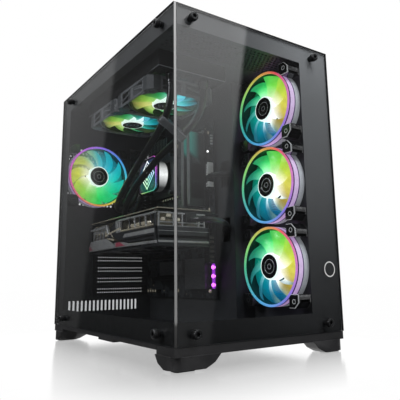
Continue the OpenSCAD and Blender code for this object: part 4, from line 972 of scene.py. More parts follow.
for i, z in enumerate(SIDE_FAN_Z, 1):
    at = facing("left", (BRACKET_X, SIDE_FAN_Y, z))
    fan_frame(f"side_fan_housing_{i}", f"side_fan_frame_{i}", at, GUARD_SIDE)
    ring(f"side_fan_ring_{i}", RING_SIDE, at, "fan_light_rings" if i == 1 else ())
    rotor(f"side_fan_blades_{i}", f"side_fan_rotor_{i}", at, BLADE_SIDE)
at = facing("front", REAR_FAN)
fan_frame("rear_fan_housing", "rear_fan_frame", at, GUARD_REAR, pale=())
ring("rear_fan_ring", RING_REAR, at)
rotor("rear_fan_blades", "rear_fan_rotor", at, BLADE_REAR)
for i, y in enumerate(TOP_FAN_Y, 1):
    at = facing("down", (TOP_FAN_X, y, RADIATOR_Z))
    fan_frame(f"top_fan_housing_{i}", f"top_fan_frame_{i}", at, GUARD_TOP, lit=False)
    rotor(f"top_fan_blades_{i}", f"top_fan_rotor_{i}", at, BLADE_TOP)

# ---------------------------------------------------------------- cooler


def smooth_path(route, steps):
    """Points on a smooth curve through a route."""
    points = []
    for i in range(len(route) - 1):
        p = [Vector(route[j]) for j in (max(i - 1, 0), i, i + 1, min(i + 2, len(route) - 1))]
        for k in range(steps):
            t = k / steps
            points.append(0.5 * (2 * p[1] + (p[2] - p[0]) * t
                                 + (2 * p[0] - 5 * p[1] + 4 * p[2] - p[3]) * t * t
                                 + (3 * p[1] - p[0] - 3 * p[2] + p[3]) * t ** 3))
    return points + [Vector(route[-1])]


def flexible(name, route, diameter, mats, node=()):
    """A sleeved tube or cable along a smooth curve through its route."""
    path = smooth_path(route, 5)
    shape = Shape()
    shape.tube(path, diameter / 2, 20, uv_length=diameter * 0.9)
    obj = piece(name, shape, mats, node=node, angle=60)
    return obj


X0 = LEFT
UPPER = [
    (X0 + 55, -115.5, RADIATOR_Z - 9), (X0 + 55, -115.5, 392), (X0 + 54.5, -114, 370),
    (X0 + 53, -105, 347), (X0 + 52, -84, 327), (X0 + 52.5, -50, 309), (X0 + 55, -10, 291),
    (X0 + 59, 32, 272), (X0 + 64, 74, 254), (X0 + 74, 112, 241), (X0 + 92, 143, 237),
    (X0 + 114, 164, 243), (X0 + 133, 175.5, 257.5), (X0 + 145, 180, 276),
    (X0 + 148.5, 180.6, 287),
]
LOWER = [
    (X0 + 113, -115.5, RADIATOR_Z - 9), (X0 + 113, -115.5, 394), (X0 + 110.5, -116.5, 373),
    (X0 + 102, -116, 350), (X0 + 89, -107, 329), (X0 + 78, -85, 311), (X0 + 72, -53, 297),
    (X0 + 70, -14, 280), (X0 + 71, 30, 262), (X0 + 76, 72, 244), (X0 + 87, 108, 230),
    (X0 + 104, 137, 226), (X0 + 126, 157, 234), (X0 + 143, 169, 252), (X0 + 149.5, 174, 265),
]
flexible("coolant_tube_upper", UPPER, 11.0, TUBE, "coolant_tubes")
flexible("coolant_tube_lower", LOWER, 11.0, TUBE)

shape = Shape()
for route, z in ((UPPER, 302.0), (LOWER, 282.0)):
    # swivel elbow between the pump's rear fitting and the tube, and the tube's crimped end
    end, before = Vector(route[-1]), Vector(route[-2])
    ahead = (end - before).normalized()
    shape.tube(smooth_path([(X0 + 152, 151, z), (X0 + 152, 160, z), (X0 + 152, 168, z - 1.0),
                            (X0 + 151.2, 175.5, z - 5.5), end + ahead * 2], 4), 5.2, 20, 0)
    for y, r in ((151.5, 6.6), (158.5, 6.2)):
        shape.lathe([(5.0, 0), (r, 0.4), (r, 4.2), (5.0, 4.6)], 36, 1,
                    shifted(X0 + 152, y, z, -90), closed=True,
                    ripple=lambda r, z, a: r + (0.15 * math.cos(18 * a) if r > 5.5 else 0))
    shape.tube([end + ahead * 1.5, end - ahead * 4, end - ahead * 9.5], 6.5, 24, 1)
piece("tube_elbows", shape, [GLOSS, MATT], angle=45)

shape = Shape()
for x in (X0 + 55, X0 + 113):
    shape.lathe([(4.5, 0.0), (7.6, 0.0), (7.8, -1.0), (7.8, -7.0), (7.0, -8.6), (6.6, -16.0),
                 (5.6, -16.4)], 36, [0, 0, 1, 1, 1, 0], shifted(x, -115.5, RADIATOR_Z),
                ripple=lambda r, z, a: r + (0.18 * math.cos(16 * a) if r > 7.5 else 0))
piece("tube_collars", shape, [MATT, GLOSS], angle=45)

# clip bar that holds the tubes apart
clip_at = shifted(X0 + 52.6, -98, 340, 33, "Y") @ shifted(0, 0, 0, 46)
shape = Shape()
half, span = 8.0, 36.4
outline = [*arc(half, 90, 270, 16), (span * 0.35, -6.4), (span * 0.65, -6.4),
           *arc(half, -90, 90, 16, (span, 0)), (span * 0.65, 6.4), (span * 0.35, 6.4)]
shape.plate(outline, -5.8, 5.8, 0.8, 0, clip_at, 1)
for x in (0, span):
    shape.lathe([(6.2, -6.4), (7.1, -6.4), (7.1, 6.4), (6.2, 6.4)], 32, 1,
                clip_at @ shifted(x, 0, 0), closed=True)
piece("tube_clip_bar", shape, [FRAME_GREY, FRAME_PALE], node="tube_clip")

# pump: a satin drum with a painted highlight round it, behind a rounded square display with a lit
# rim
pump_at = facing("left", (X0 + 164, CPU[1], CPU[2]))
shape = Shape()
shape.lathe([(26.0, -11.8), (28.5, -11.6), (29.0, -11.0), (29.2, -6.0), (30.2, -5.2),
             (30.5, -4.4), (30.5, 15.0), (30.0, 15.8), (29.0, 16.0), (20.0, 16.0)], 96,
            [1, 1, 1, 1, 0, 0, 0, 0, 1])
shape.plate(round_square(70, 12), 15.6, 20.2, 0.8, 1, rim=1)
for z in (302, 282):
    shape.lathe([(6.4, 0.0), (6.5, 0.5), (6.5, 8.4), (6.0, 9.3), (4.2, 9.5)], 32, 1,
                shifted(z - CPU[2], 26.0, 12.0, -90))
# the bright band painted round the drum, with its glow, is a painted highlight
SATIN_PAINTED_HIGHLIGHT = glow_disc("satin_drum_painted_highlight", [(0.0, (0.02, 0.02, 0.02)), (0.10, (0.03, 0.03, 0.03)),
                                 (0.17, (0.40, 0.40, 0.39)), (0.24, (0.90, 0.90, 0.88)),
                                 (0.33, (0.36, 0.36, 0.35)), (0.41, (0.03, 0.03, 0.03)),
                                 (1.0, (0.02, 0.02, 0.02))],
                  [(20, 1), (40, 1)], 2.2, (0.45, 0.45, 0.44), 0.32)
piece("pump_drum", shape, [SATIN_PAINTED_HIGHLIGHT, MATT], node="pump_head", at=pump_at)

PUMP_RIM = [
    (0.00, (0.25, 0.85, 0.25)), (0.12, (0.05, 0.6, 0.55)), (0.20, (0.35, 0.2, 0.95)),
    (0.28, (0.85, 0.12, 0.95)), (0.40, (0.95, 0.10, 0.85)), (0.50, (0.45, 0.35, 0.5)),
    (0.62, (0.5, 0.55, 0.4)), (0.75, (0.95, 0.9, 0.55)), (0.88, (0.75, 0.95, 0.4)),
    (1.00, (0.25, 0.85, 0.25)),
]
RIM_GLOW = glow_disc("pump_rim_glow", PUMP_RIM, [(20, 1), (50, 1)], 1.5, (0.5, 0.5, 0.5))


def display_material():
    """A dark display with pale rings and stripes turned half a right angle."""
    n = Nodes("display_pattern")
    x, y, _ = n.xyz(turn=(0, 0, math.radians(45)))
    square = n.math("MULTIPLY", n.math("MAXIMUM", n.math("ABSOLUTE", x), n.math("ABSOLUTE", y)),
                    1000.0)
    stripe = n.math("GREATER_THAN", n.math("SINE", n.math("MULTIPLY", square, 1.05)), 0.25)
    lit = n.math("MULTIPLY", stripe, n.math("LESS_THAN", square, 21.0))
    tint = n.ramp(around(n)[0], [
        (0.0, (0.55, 0.95, 0.5)), (0.15, (0.3, 0.8, 0.8)), (0.3, (0.7, 0.7, 1.0)),
        (0.5, (1, 1, 1)), (0.75, (1.0, 0.97, 0.8)), (1.0, (0.55, 0.95, 0.5))])
    n.into("Emission Color", n.mix(lit, (0.01, 0.012, 0.014), tint))
    n.into("Base Color", n.mix(lit, (0.006, 0.006, 0.007), (0.3, 0.3, 0.3)))
    n.roughness(0.06, 0.12, 400)
    n.set(Emission_Strength=2.2, Coat_Weight=0.4)
    return n.mat


shape = Shape()
shape.plate(round_square(68, 11), 20.2, 23.6, 1.0, 0, rim=1)
shape.plate(round_square(58, 8), 23.2, 24.0, 0.3, 2)
piece("pump_display_glass", shape, [GLOSS, RIM_GLOW, display_material()],
      node="pump_display", at=pump_at)
softened("pump_mount", "cpu_bracket", ALU_PALE, width=0.3)

# radiator with its tanks, channels and fins, measured from its front lower left corner
RADIATOR = shifted(TOP_FAN_X - 60, FRONT + 88, RADIATOR_Z)
RAD_W, RAD_L, RAD_H = 120, 277, CEILING - RADIATOR_Z
shape = Shape()
for low, high, bevel, mat in [
        ((0, 0, 0), (RAD_W, 24, RAD_H), 1.2, 0),
        ((0, RAD_L - 14, 0), (RAD_W, RAD_L, RAD_H), 1.2, 0),
        ((0, 23, 0), (3, RAD_L - 13, RAD_H), 0.5, 0),
        ((RAD_W - 3, 23, 0), (RAD_W, RAD_L - 13, RAD_H), 0.5, 0),
        *(((x, 22, 3), (x + 2, RAD_L - 12, RAD_H - 3), 0.6, 0) for x in range(8, 105, 12)),
        *(((x0, 24, 4), (x1, RAD_L - 14, RAD_H - 4), 0.2, 1)
          for x0, x1 in zip((3, *range(10, 107, 12)), (*range(8, 105, 12), RAD_W - 3))),
        # pale strip along the lower edge, a painted highlight, which turns at the front corner
        ((0, 0, 0.1), (1.6, RAD_L, 1.6), 0.4, 2),
        ((0, 0, 0.1), (RAD_W, 1.4, 1.6), 0.4, 2)]:
    shape.block(low, high, bevel, mat, RADIATOR)
shape.lathe([(0.05, 0), (5, 0), (5.4, -0.5), (5.4, -2.0), (4.8, -2.6), (2.0, -2.6), (1.8, -1.4),
             (0.05, -1.4)], 6, 0, shifted(X0 + 84, -117, RADIATOR_Z))
piece("radiator_core", shape, [MATT, FINS, FRAME_PALE], node="radiator")

# ---------------------------------------------------------------- motherboard

BOARD_Y, BOARD_Z = (FRONT + 178, FRONT + 422), (73.0, 378.0)
EDGE_Y = BOARD_Y[0]


def on_board(y, z):
    """Local Z points off the board towards the glass, local X up and local Y to the rear."""
    return facing("left", (BOARD_X, y, z), 1)


def part(y, z, width, height, top, bevel=0.5, mat=1, foot=0.0):
    """A block that stands on the board, from its foot to its top."""
    shape.block((BOARD_X - top, y, z), (BOARD_X - foot, y + width, z + height), bevel, mat)


shape = Shape()
shape.plate([(BOARD_Y[0], BOARD_Z[0]), (BOARD_Y[1], BOARD_Z[0]), (BOARD_Y[1], BOARD_Z[1]),
             (BOARD_Y[0], BOARD_Z[1])], 0, 1.6, 0.2, 0, across_x(BOARD_X))
# washers and screws over the standoffs
for y, z in product((EDGE_Y + 16, EDGE_Y + 122, EDGE_Y + 228), range(3)):
    shape.lathe([(0.05, 1.2), (1.2, 1.2), (1.5, 2.3), (2.6, 2.0), (3.1, 0.8), (3.2, 0.05)], 24,
                2, on_board(y, BOARD_Z[0] + 12 + z * 138))
# processor socket frame
part(CPU[1] - 26, CPU[2] - 26, 52, 52, 6.8, 0.6, foot=0.05)
# main power socket: latched rows of square pin holes
part(EDGE_Y + 1, 254, 8, 52, 11)
for i, j in product(range(12), (0, 1)):
    part(EDGE_Y + 1.8 + j * 3.4, 256.2 + i * 4.1, 2.6, 2.9, 11.4, 0.2,
         3 if 6 <= i < 11 or i in (1, 2) else 1, 10.8)
part(EDGE_Y - 0.6, 283, 3, 20, 12.6, 0.5, 3, 1)
part(EDGE_Y - 0.6, 260, 3, 9, 12.6, 0.5, 3, 1)
# fan and light headers along the front edge
part(EDGE_Y + 1, 312, 7, 20, 9, 0.4)
for z in (336, 341, 346, 351):
    part(EDGE_Y + 1, z, 2, 3, 5, 0.2, 3)
shape.lathe([(0.05, 1.9), (1.3, 1.5), (1.7, 0.6), (1.7, 0)], 16, 5,
            on_board(EDGE_Y + 4, 323) @ shifted(0, 0, 9))
# drive sockets, with the violet light bar and its three lamps below them
for z in (131, 147, 163):
    part(EDGE_Y + 1, z, 14, 14, 12)
    for k in (0, 1):
        part(EDGE_Y + 0.3, z + 1.6 + k * 6.4, 1.1, 3.8, 10, 0.3, 4, 2)
for z in (95, 109.5, 124):
    shape.lathe([(0.05, 4.4), (2.6, 3.9), (3.8, 2.0), (3.8, 0)], 20, 6, on_board(EDGE_Y + 4.2, z))
part(EDGE_Y + 0.6, 89, 7.2, 41, 2.4, 0.8, 7, 0.1)
# processor power socket
part(152, 366, 26, 11, 11)
for i, j in product(range(4), (0, 1)):
    part(154 + i * 6, 367.5 + j * 4.6, 3.4, 3.3, 11.5, 0.2, 1, 10.8)


def capacitors(count, y, pitch, z, r, h):
    for k in range(count):
        shape.lathe([(r * 0.96, 0), (r, 0.6), (r * 0.94, 1.3), (r, 2.0), (r, h - 0.8),
                     (r * 0.8, h), (r * 0.55, h - 0.25), (0.05, h - 0.25)], 20,
                    [1, 1, 1, 1, 1, 2, 2], on_board(y + k * pitch, z))


capacitors(4, 150, 10, 84, 3.2, 11.0)
for i in range(5):
    part(84 + i * 15, 346.6, 9.6, 5.8, 6, 1.0, 4)
capacitors(7, 70, 9.0, 258, 2.6, 8)
capacitors(4, 36, 9, 372, 2.4, 7)
# small chips and resistors wherever the board is free
draw = random.Random(5)
taken = [(20, 15, 222, 366), (80, 190, 222, 378), (-22, 46, 86, 142), (54, 142, 110, 140),
         (74, 168, 198, 214), (74, 168, 138, 152), (74, 168, 98, 112), (-39, -22, 112, 175),
         (-39, -28, 250, 334), (-26, 12, 218, 368), (146, 186, 78, 92), (148, 182, 362, 378),
         (62, 140, 250, 264), (30, 70, 366, 378)]
left = 190
while left:
    y, z = draw.uniform(-36, 200), draw.uniform(76, 375)
    if any(a - 2 < y < b + 2 and c - 2 < z < d + 2 for a, b, c, d in taken):
        continue
    kind = draw.random()
    w, h, t = ((1.6, 0.9, 0.7) if kind < 0.6 else (3.2, 2.4, 1.0) if kind < 0.85
               else (6.5, 6.5, 1.2))
    if draw.random() < 0.5:
        w, h = h, w
    part(y - w / 2, z - h / 2, w, h, t, 0.15, 1 if kind > 0.6 else draw.choice((1, 2, 4, 4)))
    left -= 1
LED_WHITE = surface("white_led", (0.8, 0.8, 0.8), 0.3, 0.0, 0.05, 0.05, 0.5, glow=((1, 1, 1), 4.0))
LED_PURPLE = surface("purple_led", (0.5, 0.2, 0.6), 0.3, 0.0, 0.05, 0.05, 0.5,
                     glow=((0.75, 0.12, 1.0), 5.0))
LED_BAR = surface("violet_light_bar", (0.25, 0.05, 0.4), 0.35, 0.0, 0.1, 0.1, 0.5,
                  glow=((0.42, 0.03, 0.80), 1.0))
CHIP = surface("moulded_chip", (0.09, 0.085, 0.075), 0.5, 0.0, 0.3, 0.2, 0.4)
piece("board_and_parts", shape, [PCB, CONNECTOR, NICKEL_PAINTED_HIGHLIGHT, WHITE_PLASTIC, CHIP, LED_WHITE,
                                 LED_PURPLE, LED_BAR], node="motherboard")
dress("board_standoffs", BRASS)
softened("rear_port_blocks", "rear_io_ports", [ALU, SHELL], width=0.25,
         pick=lambda c, n: 1 if c.x > BOARD_X - 31 and c.y < WALL_Y + 0.9 else 0)
softened("board_heatsink_blocks", "board_heatsinks", [ALU, ALU_PALE], width=0.6,
         pick=lambda c, n: 1 if n.x < -0.9 else 0)
softened("memory_sockets", "memory_slots", CONNECTOR, width=0.3)
softened("card_sockets", "expansion_slots", CONNECTOR, width=0.3)

# latches at the ends of the memory sockets
shape = Shape()
for i, z in product(range(4), (359.5, 220.5)):
    part(7.5 - i * 9.5 - 2.2, z, 4.4, 5, 12, 0.5, 0, 7.6)
piece("memory_latches", shape, FRAME_PALE)


def spreader_material():
    """Dark brushed metal, lit teal towards its upper end."""
    n = Nodes("memory_heat_spreader")
    x, _, z = n.xyz()
    brushed = n.noise(n.coords((1, 1, 14)), 260)
    n.into("Base Color", n.ramp(brushed, [(0.3, (0.020, 0.022, 0.023)),
                                          (0.7, (0.040, 0.043, 0.045))]))
    lit = n.spread(n.math("ADD", z, n.math("MULTIPLY", x, 0.8)), 0.322, 0.332, 0.0, 1.0)
    back = n.spread(x, 0.008, 0.026, 1.0, 0.0)
    n.into("Emission Color", n.ramp(n.math("MULTIPLY", lit, back),
                                    [(0.0, (0, 0, 0)), (1.0, (0.02, 0.20, 0.165))]))
    n.into("Roughness", n.spread(brushed, 0.3, 0.7, 0.28, 0.42))
    n.set(Metallic=0.5, Emission_Strength=1.0)
    n.bump(brushed, 0.15, 0.0002)
    return n.mat


shape = Shape()
STICK_X, (LOW_Z, HIGH_Z) = X0 + 142.5, (226.0, 359.0)
for y in (-2, -21):
    shape.block((STICK_X + 8, y - 0.6, LOW_Z + 0.2), (BOARD_X - 3.2, y + 0.6, HIGH_Z - 0.2),
                0.15, 2)
    for side in (-1, 1):
        y0, y1 = sorted((y + side * 0.6, y + side * 3.4))
        shape.block((STICK_X + 2, y0, LOW_Z + 1), (BOARD_X - 9, y1, HIGH_Z - 1), 0.5, 0,
                    edge_mat=1)
        # raised panels on the spreader's face
        y0, y1 = sorted((y + side * 3.2, y + side * 3.4))
        for z in (240, 272):
            shape.block((STICK_X + 6, y0, z), (BOARD_X - 14, y1, z + 28), 0.1, 0)
        for k in range(5):
            z = 302 + k * 2.2
            shape.block((STICK_X + 8, y0, z), (BOARD_X - 15 - k * 2, y1, z + 1), 0.1, 1)
    shape.block((STICK_X, y - 2.6, LOW_Z + 14), (STICK_X + 2.6, y + 2.6, HIGH_Z - 14), 0.8, 1)
    shape.block((STICK_X + 1, y - 3.0, LOW_Z + 4), (STICK_X + 3, y + 3.0, HIGH_Z - 4), 0.5, 1)
EDGE_BAR = surface("pale_light_bar", (0.12, 0.125, 0.13), 0.35, 0.2, 0.15, 0.12, 0.5,
                   glow=((0.7, 0.75, 0.75), 0.04))
piece("memory_sticks", shape, [spreader_material(), EDGE_BAR, CARD_PCB],
      node="memory_modules")

# ---------------------------------------------------------------- graphics card


CX, CY, CZ = CARD_X, CARD_Y, CARD_Z
CARD = shifted(CX[0], CY[0], CZ[0])
WIDE, LONG = CX[1] - CX[0], CY[1] - CY[0]
PCB_H = CARD_PCB_Z - CZ[0]


def card_block(low, high, bevel, mat, edge_mat=None):
    """A block measured from the card's front lower left corner."""
    shape.block(low, high, bevel, mat, CARD, edge_mat)


def guards(plates):
    """Plates across the card's left side: (depths, material, bevel, outline of (y, height))."""
    for x0, x1, mat, bevel, outline in plates:
        shape.plate([(y, CZ[0] + z) for y, z in outline], 0, x1 - x0, bevel, mat,
                    across_x(CX[0] + x0))


def fan_face(thick, radius=44.5, steps=90):
    """The underside round the three fans, in strips out to both long edges."""
    for side, edge in ((-1, CX[0] + 4), (1, CX[1] - 13)):
        line = []
        for k in range(steps + 1):
            y = CY[0] + 1 + (LONG - 6) * k / steps
            gap = min(abs(y - c) for c in GPU_FAN_Y)
            reach = max(0.4, math.sqrt(max(0, radius ** 2 - gap ** 2)))
            line.append((GPU_FAN_X + side * reach, y))
        for a, b in zip(line, line[1:]):
            prism(shape, *([(edge, a[1], z), (*a, z), (*b, z), (edge, b[1], z)]
                           for z in (CZ[0], CZ[0] + thick)))


shape = Shape()
# body under the board, in stepped parts round the fans
card_block((4, 0, 11), (WIDE - 12, LONG - 4, 17), 0.8, 0)
card_block((4, 0, 2), (WIDE - 12, 4.5, 30), 1.2, 0)
card_block((4, LONG - 8.5, 2), (WIDE - 12, LONG - 4, 30), 1.2, 0)
card_block((WIDE - 18, 0, 2), (WIDE - 12, LONG - 4, 30), 1.0, 0)
fan_face(2.4)
for y in GPU_FAN_Y:
    shape.lathe([(43.6, 0.2), (45.2, 0.0), (45.6, 0.6), (45.6, 10.8), (43.6, 10.8)], 96, 0,
                shifted(GPU_FAN_X, y, CZ[0]), closed=True)
# near the front end, near the rear end, and at the waist between the two windows
Y0, Y1, YM = CY[0] + 22, CY[1] - 30, sum(CY) / 2 + 14
guards((
    # lower band: grey wings that taper towards the waist, with a red accent
    (0, 3.6, 1, 0.9, ((YM + 2, 5), (Y1 + 24, 4), (Y1 + 26, 12), (Y1 + 18, 23), (YM + 38, 24),
                      (YM + 12, 14), (YM + 2, 9))),
    (0, 1.2, 2, 0.3, ((YM - 42, 6.5), (YM - 6, 6.5), (YM - 6, 13), (YM - 20.4, 14))),
    (0, 1.2, 2, 0.3, ((Y1 + 6, 6.5), (Y1 + 24, 6.5), (Y1 + 24, 13), (Y1 + 16.8, 14))),
    (0.6, 3.6, 1, 0.6, ((Y0 - 20, 4), (YM + 1, 5), (YM + 1, 14), (YM - 30, 13), (YM - 58, 9),
                        (Y0 - 20, 8))),
    (0.8, 4.6, 0, 0.8, ((Y0 - 18, 17), (YM - 14, 17), (YM + 16, 27), (YM + 2, 32), (YM - 22, 31),
                        (Y0 - 18, 30))),
    (0.3, 1.4, 1, 0.3, ((Y0 - 16, 20), (YM - 34, 20), (YM - 40, 26), (Y0 - 16, 26.5))),
    # overlapping angled guards at the waist
    (0.4, 5.0, 0, 0.9, ((YM - 8, 27), (YM + 34, 20), (YM + 30, 30), (YM + 8, 49), (YM - 10, 50))),
    (0.2, 4.8, 1, 0.7, ((YM + 24, 26), (YM + 30, 26), (YM + 44, 48), (YM + 36, 48))),
    (0.1, 4.9, 1, 0.7, ((YM - 14, 30), (YM - 6, 30), (YM - 2, 51), (YM - 12, 52))),
    (0.2, 4.9, 1, 0.6, ((YM - 22, 30), (YM - 18, 30), (YM - 16, 51), (YM - 21, 51))),
    # frame beams round the windows
    (0.2, 4.0, 1, 0.8, ((YM + 40, 43), (Y1 + 20, 42), (Y1 + 20, 46), (YM + 36, 48.5))),
    (0.4, 3.4, 1, 0.6, ((YM + 46, 35), (Y1 + 6, 36.5), (Y1 + 6, 39), (YM + 44, 38))),
    (0.2, 4.0, 1, 0.8, ((Y0 - 18, 49), (YM - 14, 49.5), (YM - 14, 52.5), (Y0 - 18, 52))),
    (0.2, 4.0, 3, 0.6, ((Y0 - 12, 31.5), (YM - 22, 31.5), (YM - 22, 33.6), (Y0 - 12, 33.4))),
    # nickel struts between the guards, bright with a painted highlight
    (0.0, 2.6, 3, 0.5, ((122, 27.6), (58, 35.6), (58, 39), (122, 31))),
    (0.2, 2.8, 3, 0.5, ((112, 22), (86, 18), (86, 21), (112, 25))),
    (0.1, 2.7, 3, 0.5, ((104, 33.4), (88, 23.4), (88, 26), (104, 36)))))
# slanted bars across both windows
guards((0.5, 3.8, 1, 0.5, ((y, 24), (y + 3, 24), (y - 5, 44), (y - 8, 44)))
       for y in (Y1 + 4 - k * 15 for k in range(4)))
guards((0.6, 3.8, k % 2, 0.5, ((y, 31), (y + 2.4, 31), (y + 6.4, 50), (y + 4, 50)))
       for k, y in enumerate(Y0 - 8 + k * 19 for k in range(5)))
# frame across the front end
for z0, z1, mat in ((49, 51.5, 1), (35, 36.8, 1), (41.5, 42.6, 0), (29.6, 31.2, 1)):
    card_block((4.6, 0.6, z0), (WIDE - 20, 3.4, z1), 0.5, mat)
for x in (4.6, 30, 46, 76, WIDE - 23):
    card_block((x, 0.4, 29), (x + 2.4, 3.6, 51), 0.5, 1)
for x, z in ((9, 38), (19, 44), (35, 38)):
    card_block((x, 0.5, z), (x + 8, 3, z + 5), 0.8, 3)
card_block((4.6, -0.2, 5), (WIDE - 14, 1, 8.5), 0.4, 1)
card_block((4.6, -0.1, 22), (WIDE - 14, 1, 23.4), 0.4, 1)
guards((0.6, 4.6, 0, 0.8, ((y, 8), (y + 5, 8), (y + 5, 52), (y, 50))) for y in (Y0 - 18, Y1 + 17))
piece("card_shroud", shape, [SHROUD, SHROUD_GREY_PAINTED_LIGHT, ACCENT, NICKEL_PAINTED_HIGHLIGHT],
      node="gpu_shroud")

shape = Shape()
for i in range(92):
    y = 16 + i * 2.64
    card_block((7, y, 18.2), (WIDE - 20, y + 0.5, PCB_H - 1.2), 0.1, 0)
for i in range(4):
    shape.tube([(CX[0] + 24 + i * 20, y, CZ[0] + 27)
                for y in (CY[0] + 13, CY[0] + 60, CY[1] - 30, CY[1] - 16)], 3.0, 20, 1)
# two pipes that loop out to the card's left edge
for y0, y1, z in ((CY[0] + 24, CY[0] + 112, CZ[0] + 38), (CY[0] + 170, CY[0] + 250, CZ[0] + 36)):
    shape.tube(smooth_path([(CX[0] + x, y, z) for x, y in (
        (30, y0), (12, y0 + 2), (5.4, y0 + 14), (5.2, y0 + 40), (5.2, y1 - 14), (12, y1 - 2),
        (30, y1))], 5), 2.8, 18, 2)
PLATED = surface("plated_fins", (0.40, 0.37, 0.30), 0.3, 0.8, 0.12, 0.1, 0.5)
piece("card_fin_stack", shape, [PLATED, COPPER, NICKEL_PAINTED_HIGHLIGHT], node="gpu_heatsink")

shape = Shape()
shape.block((CX[0] + 8, CY[0] + 6, CARD_PCB_Z), (BOARD_X - 11.2, CY[1] - 2, CARD_PCB_Z + 1.6),
            0.15, 0)
shape.block((BOARD_X - 12, 80, CARD_PCB_Z), (BOARD_X - 3.5, 161, CARD_PCB_Z + 1.6), 0.15, 4)
card_block((52, -1.6, PCB_H - 16), (72, 12, PCB_H), 0.5, 1)
for i, j in product(range(4), (0, 1)):
    x, z = 53.4 + i * 4.5, PCB_H - 14.4 + j * 5.6
    card_block((x, -1.8, z), (x + 3.6, -1.2, z + 3.8), 0.2, 1)
# backplate with raised ribs and slots
card_block((4, 2, PCB_H + 4), (WIDE - 8, LONG - 4, PCB_H + 5.6), 0.5, 2, 3)
for i in range(7):
    y = 20 + i * 12
    card_block((14, y, PCB_H + 5.4), (WIDE - 18, y + 4, PCB_H + 6.0), 0.25, 2)
for x, y in product((CX[0] + 16, CX[1] - 22), (CY[0] + 30, 60, CY[1] - 40)):
    shape.lathe([(0.05, 6.6), (1.2, 6.6), (1.4, 7.3), (2.6, 7.1), (3.0, 6.2), (3.0, 0.2)], 20, 3,
                shifted(x, y, CARD_PCB_Z - 0.2))
piece("card_board", shape, [CARD_PCB, CONNECTOR, ALU, NICKEL_PAINTED_HIGHLIGHT, BRASS],
      node="gpu_board")
dress("gpu_bracket", METAL)

for i, y in enumerate(GPU_FAN_Y, 1):
    shape = Shape()
    shape.lathe([(15.0, 1.0), (16.0, 1.6), (16.0, 9.0), (15.0, 10.3), (12.0, 10.5), (11.6, 10.1),
                 (8.0, 10.1), (7.6, 10.45), (0.05, 10.5)], 48, [0, 0, 0, 0, 0, 1, 1, 0])
    shape.lathe([(0.05, -2.9), (1.4, -2.9), (1.4, 2.0), (0.05, 2.0)], 12, 1)
    blades(shape, 11, 16, 41.2, (10, 19), (38, 24), 20, 5.8, 1.1, 7, 0.06)
    shape.lathe([(40.8, 2.4), (41.9, 2.4), (41.9, 9.2), (40.8, 9.2)], 72, 0, closed=True)
    piece(f"card_fan_{i}", shape, [BLADE_BLACK, SHROUD_GREY_PAINTED_LIGHT], f"gpu_fan_{i}",
          f"gpu_fan_{i}", facing("down", (GPU_FAN_X, y, CZ[0] + 12)), 50)

# ---------------------------------------------------------------- rear chamber

softened("psu_shell", "psu_case", STEEL, width=0.4)
shape = Shape()
shape.lathe([(1.4, 1.0), (18.0, 0.8), (19.0, 1.8), (19.0, 17.6), (17.8, 19.0), (12.0, 19.0),
             (0.05, 19.0)], 48, 0)
shape.lathe([(0.05, -2.4), (1.4, -2.4), (1.4, 2.0), (0.05, 2.0)], 12, 1)
blades(shape, 7, 19, 54.4, (20, 33), (34, 22), 24, 9.8, 1.4)
piece("psu_fan_blades", shape, [BLADE_BLACK, METAL], "psu_fan", "psu_fan",
      facing("left", (PSU[0] + 81, PSU[1] + 66, PSU[2] + 75)), 50)
softened("rocker_cap", "psu_switch", GLOSS, body="psu_switch", width=0.5)
softened("inlet_socket", "psu_inlet", [CONNECTOR], width=0.25)
softened("drive_bay", "storage_drives", [CASTING, MATT], width=0.5,
         pick=lambda c, n: 1 if c.x < BRACKET_X else 0)

# the cables' routes, along the board's face, the tray and the power supply
B, T, P = BOARD_X, TRAY_X, PSU[0]
CABLES = {
    "main": [
        (B - 6, -42, 280), (B - 3.3, -52.5, 280), (B + 4.5, -60.2, 280), (B + 15, -63, 280),
        (T + 17.5, -63, 277.2), (T + 25, -62.5, 269.5), (T + 28, -60, 259), (T + 28.5, -48, 235),
        (T + 29, -24, 206), (T + 31, 10, 181), (P + 30, 41, 168.5), (P + 30, 54, 166.5),
        (P + 30, 66.9, 166)],
    "card": [
        (CX[0] + 62, CY[0] - 3.6, 196), (CX[0] + 64.6, -84.1, 196), (CX[0] + 72.3, -91.8, 196),
        (CX[0] + 83, -94.8, 195.5), (T - 41, -94, 194.5), (T - 27, -89, 193), (T - 14, -80, 190.5),
        (T - 4, -69, 188), (T + 5, -57, 185), (T + 15, -42, 180), (T + 28, -20, 170),
        (P + 38, 8, 158.5), (P + 43, 34, 151.5), (P + 44, 51, 150), (P + 44, 66.9, 150)],
    "processor": [
        (B - 6, 165, 380.5), (B - 3.2, 165, 391), (B + 4.5, 165, 398.7), (B + 15, 165, 401.5),
        (T + 17.5, 165, 398.7), (T + 25, 165, 391), (T + 28, 164, 380), (T + 28.5, 158, 352),
        (T + 30, 142, 312), (T + 35, 114, 272), (P + 41, 80, 238), (P + 47, 60, 221.5),
        (P + 52, 43.5, 209), (P + 56, 29, 198), (P + 58, 24.3, 187.8), (P + 58, 25.3, 176.5),
        (P + 58, 31.9, 167.1), (P + 58, 42.2, 162.3), (P + 58, 54, 162), (P + 58, 66.9, 162)],
}
for i, (name, route) in enumerate(CABLES.items()):
    flexible(f"{name}_power_cable", route, 9.0, CABLE,
             "power_cables" if i == 0 else ())

# ---------------------------------------------------------------- floor, light and camera

mesh = bpy.data.meshes.new("floor")
bm = bmesh.new()
bmesh.ops.create_circle(bm, cap_ends=True, segments=96, radius=6.0)
bm.to_mesh(mesh)
bm.free()
n = Nodes("pale_floor")
x, y, _ = n.xyz()
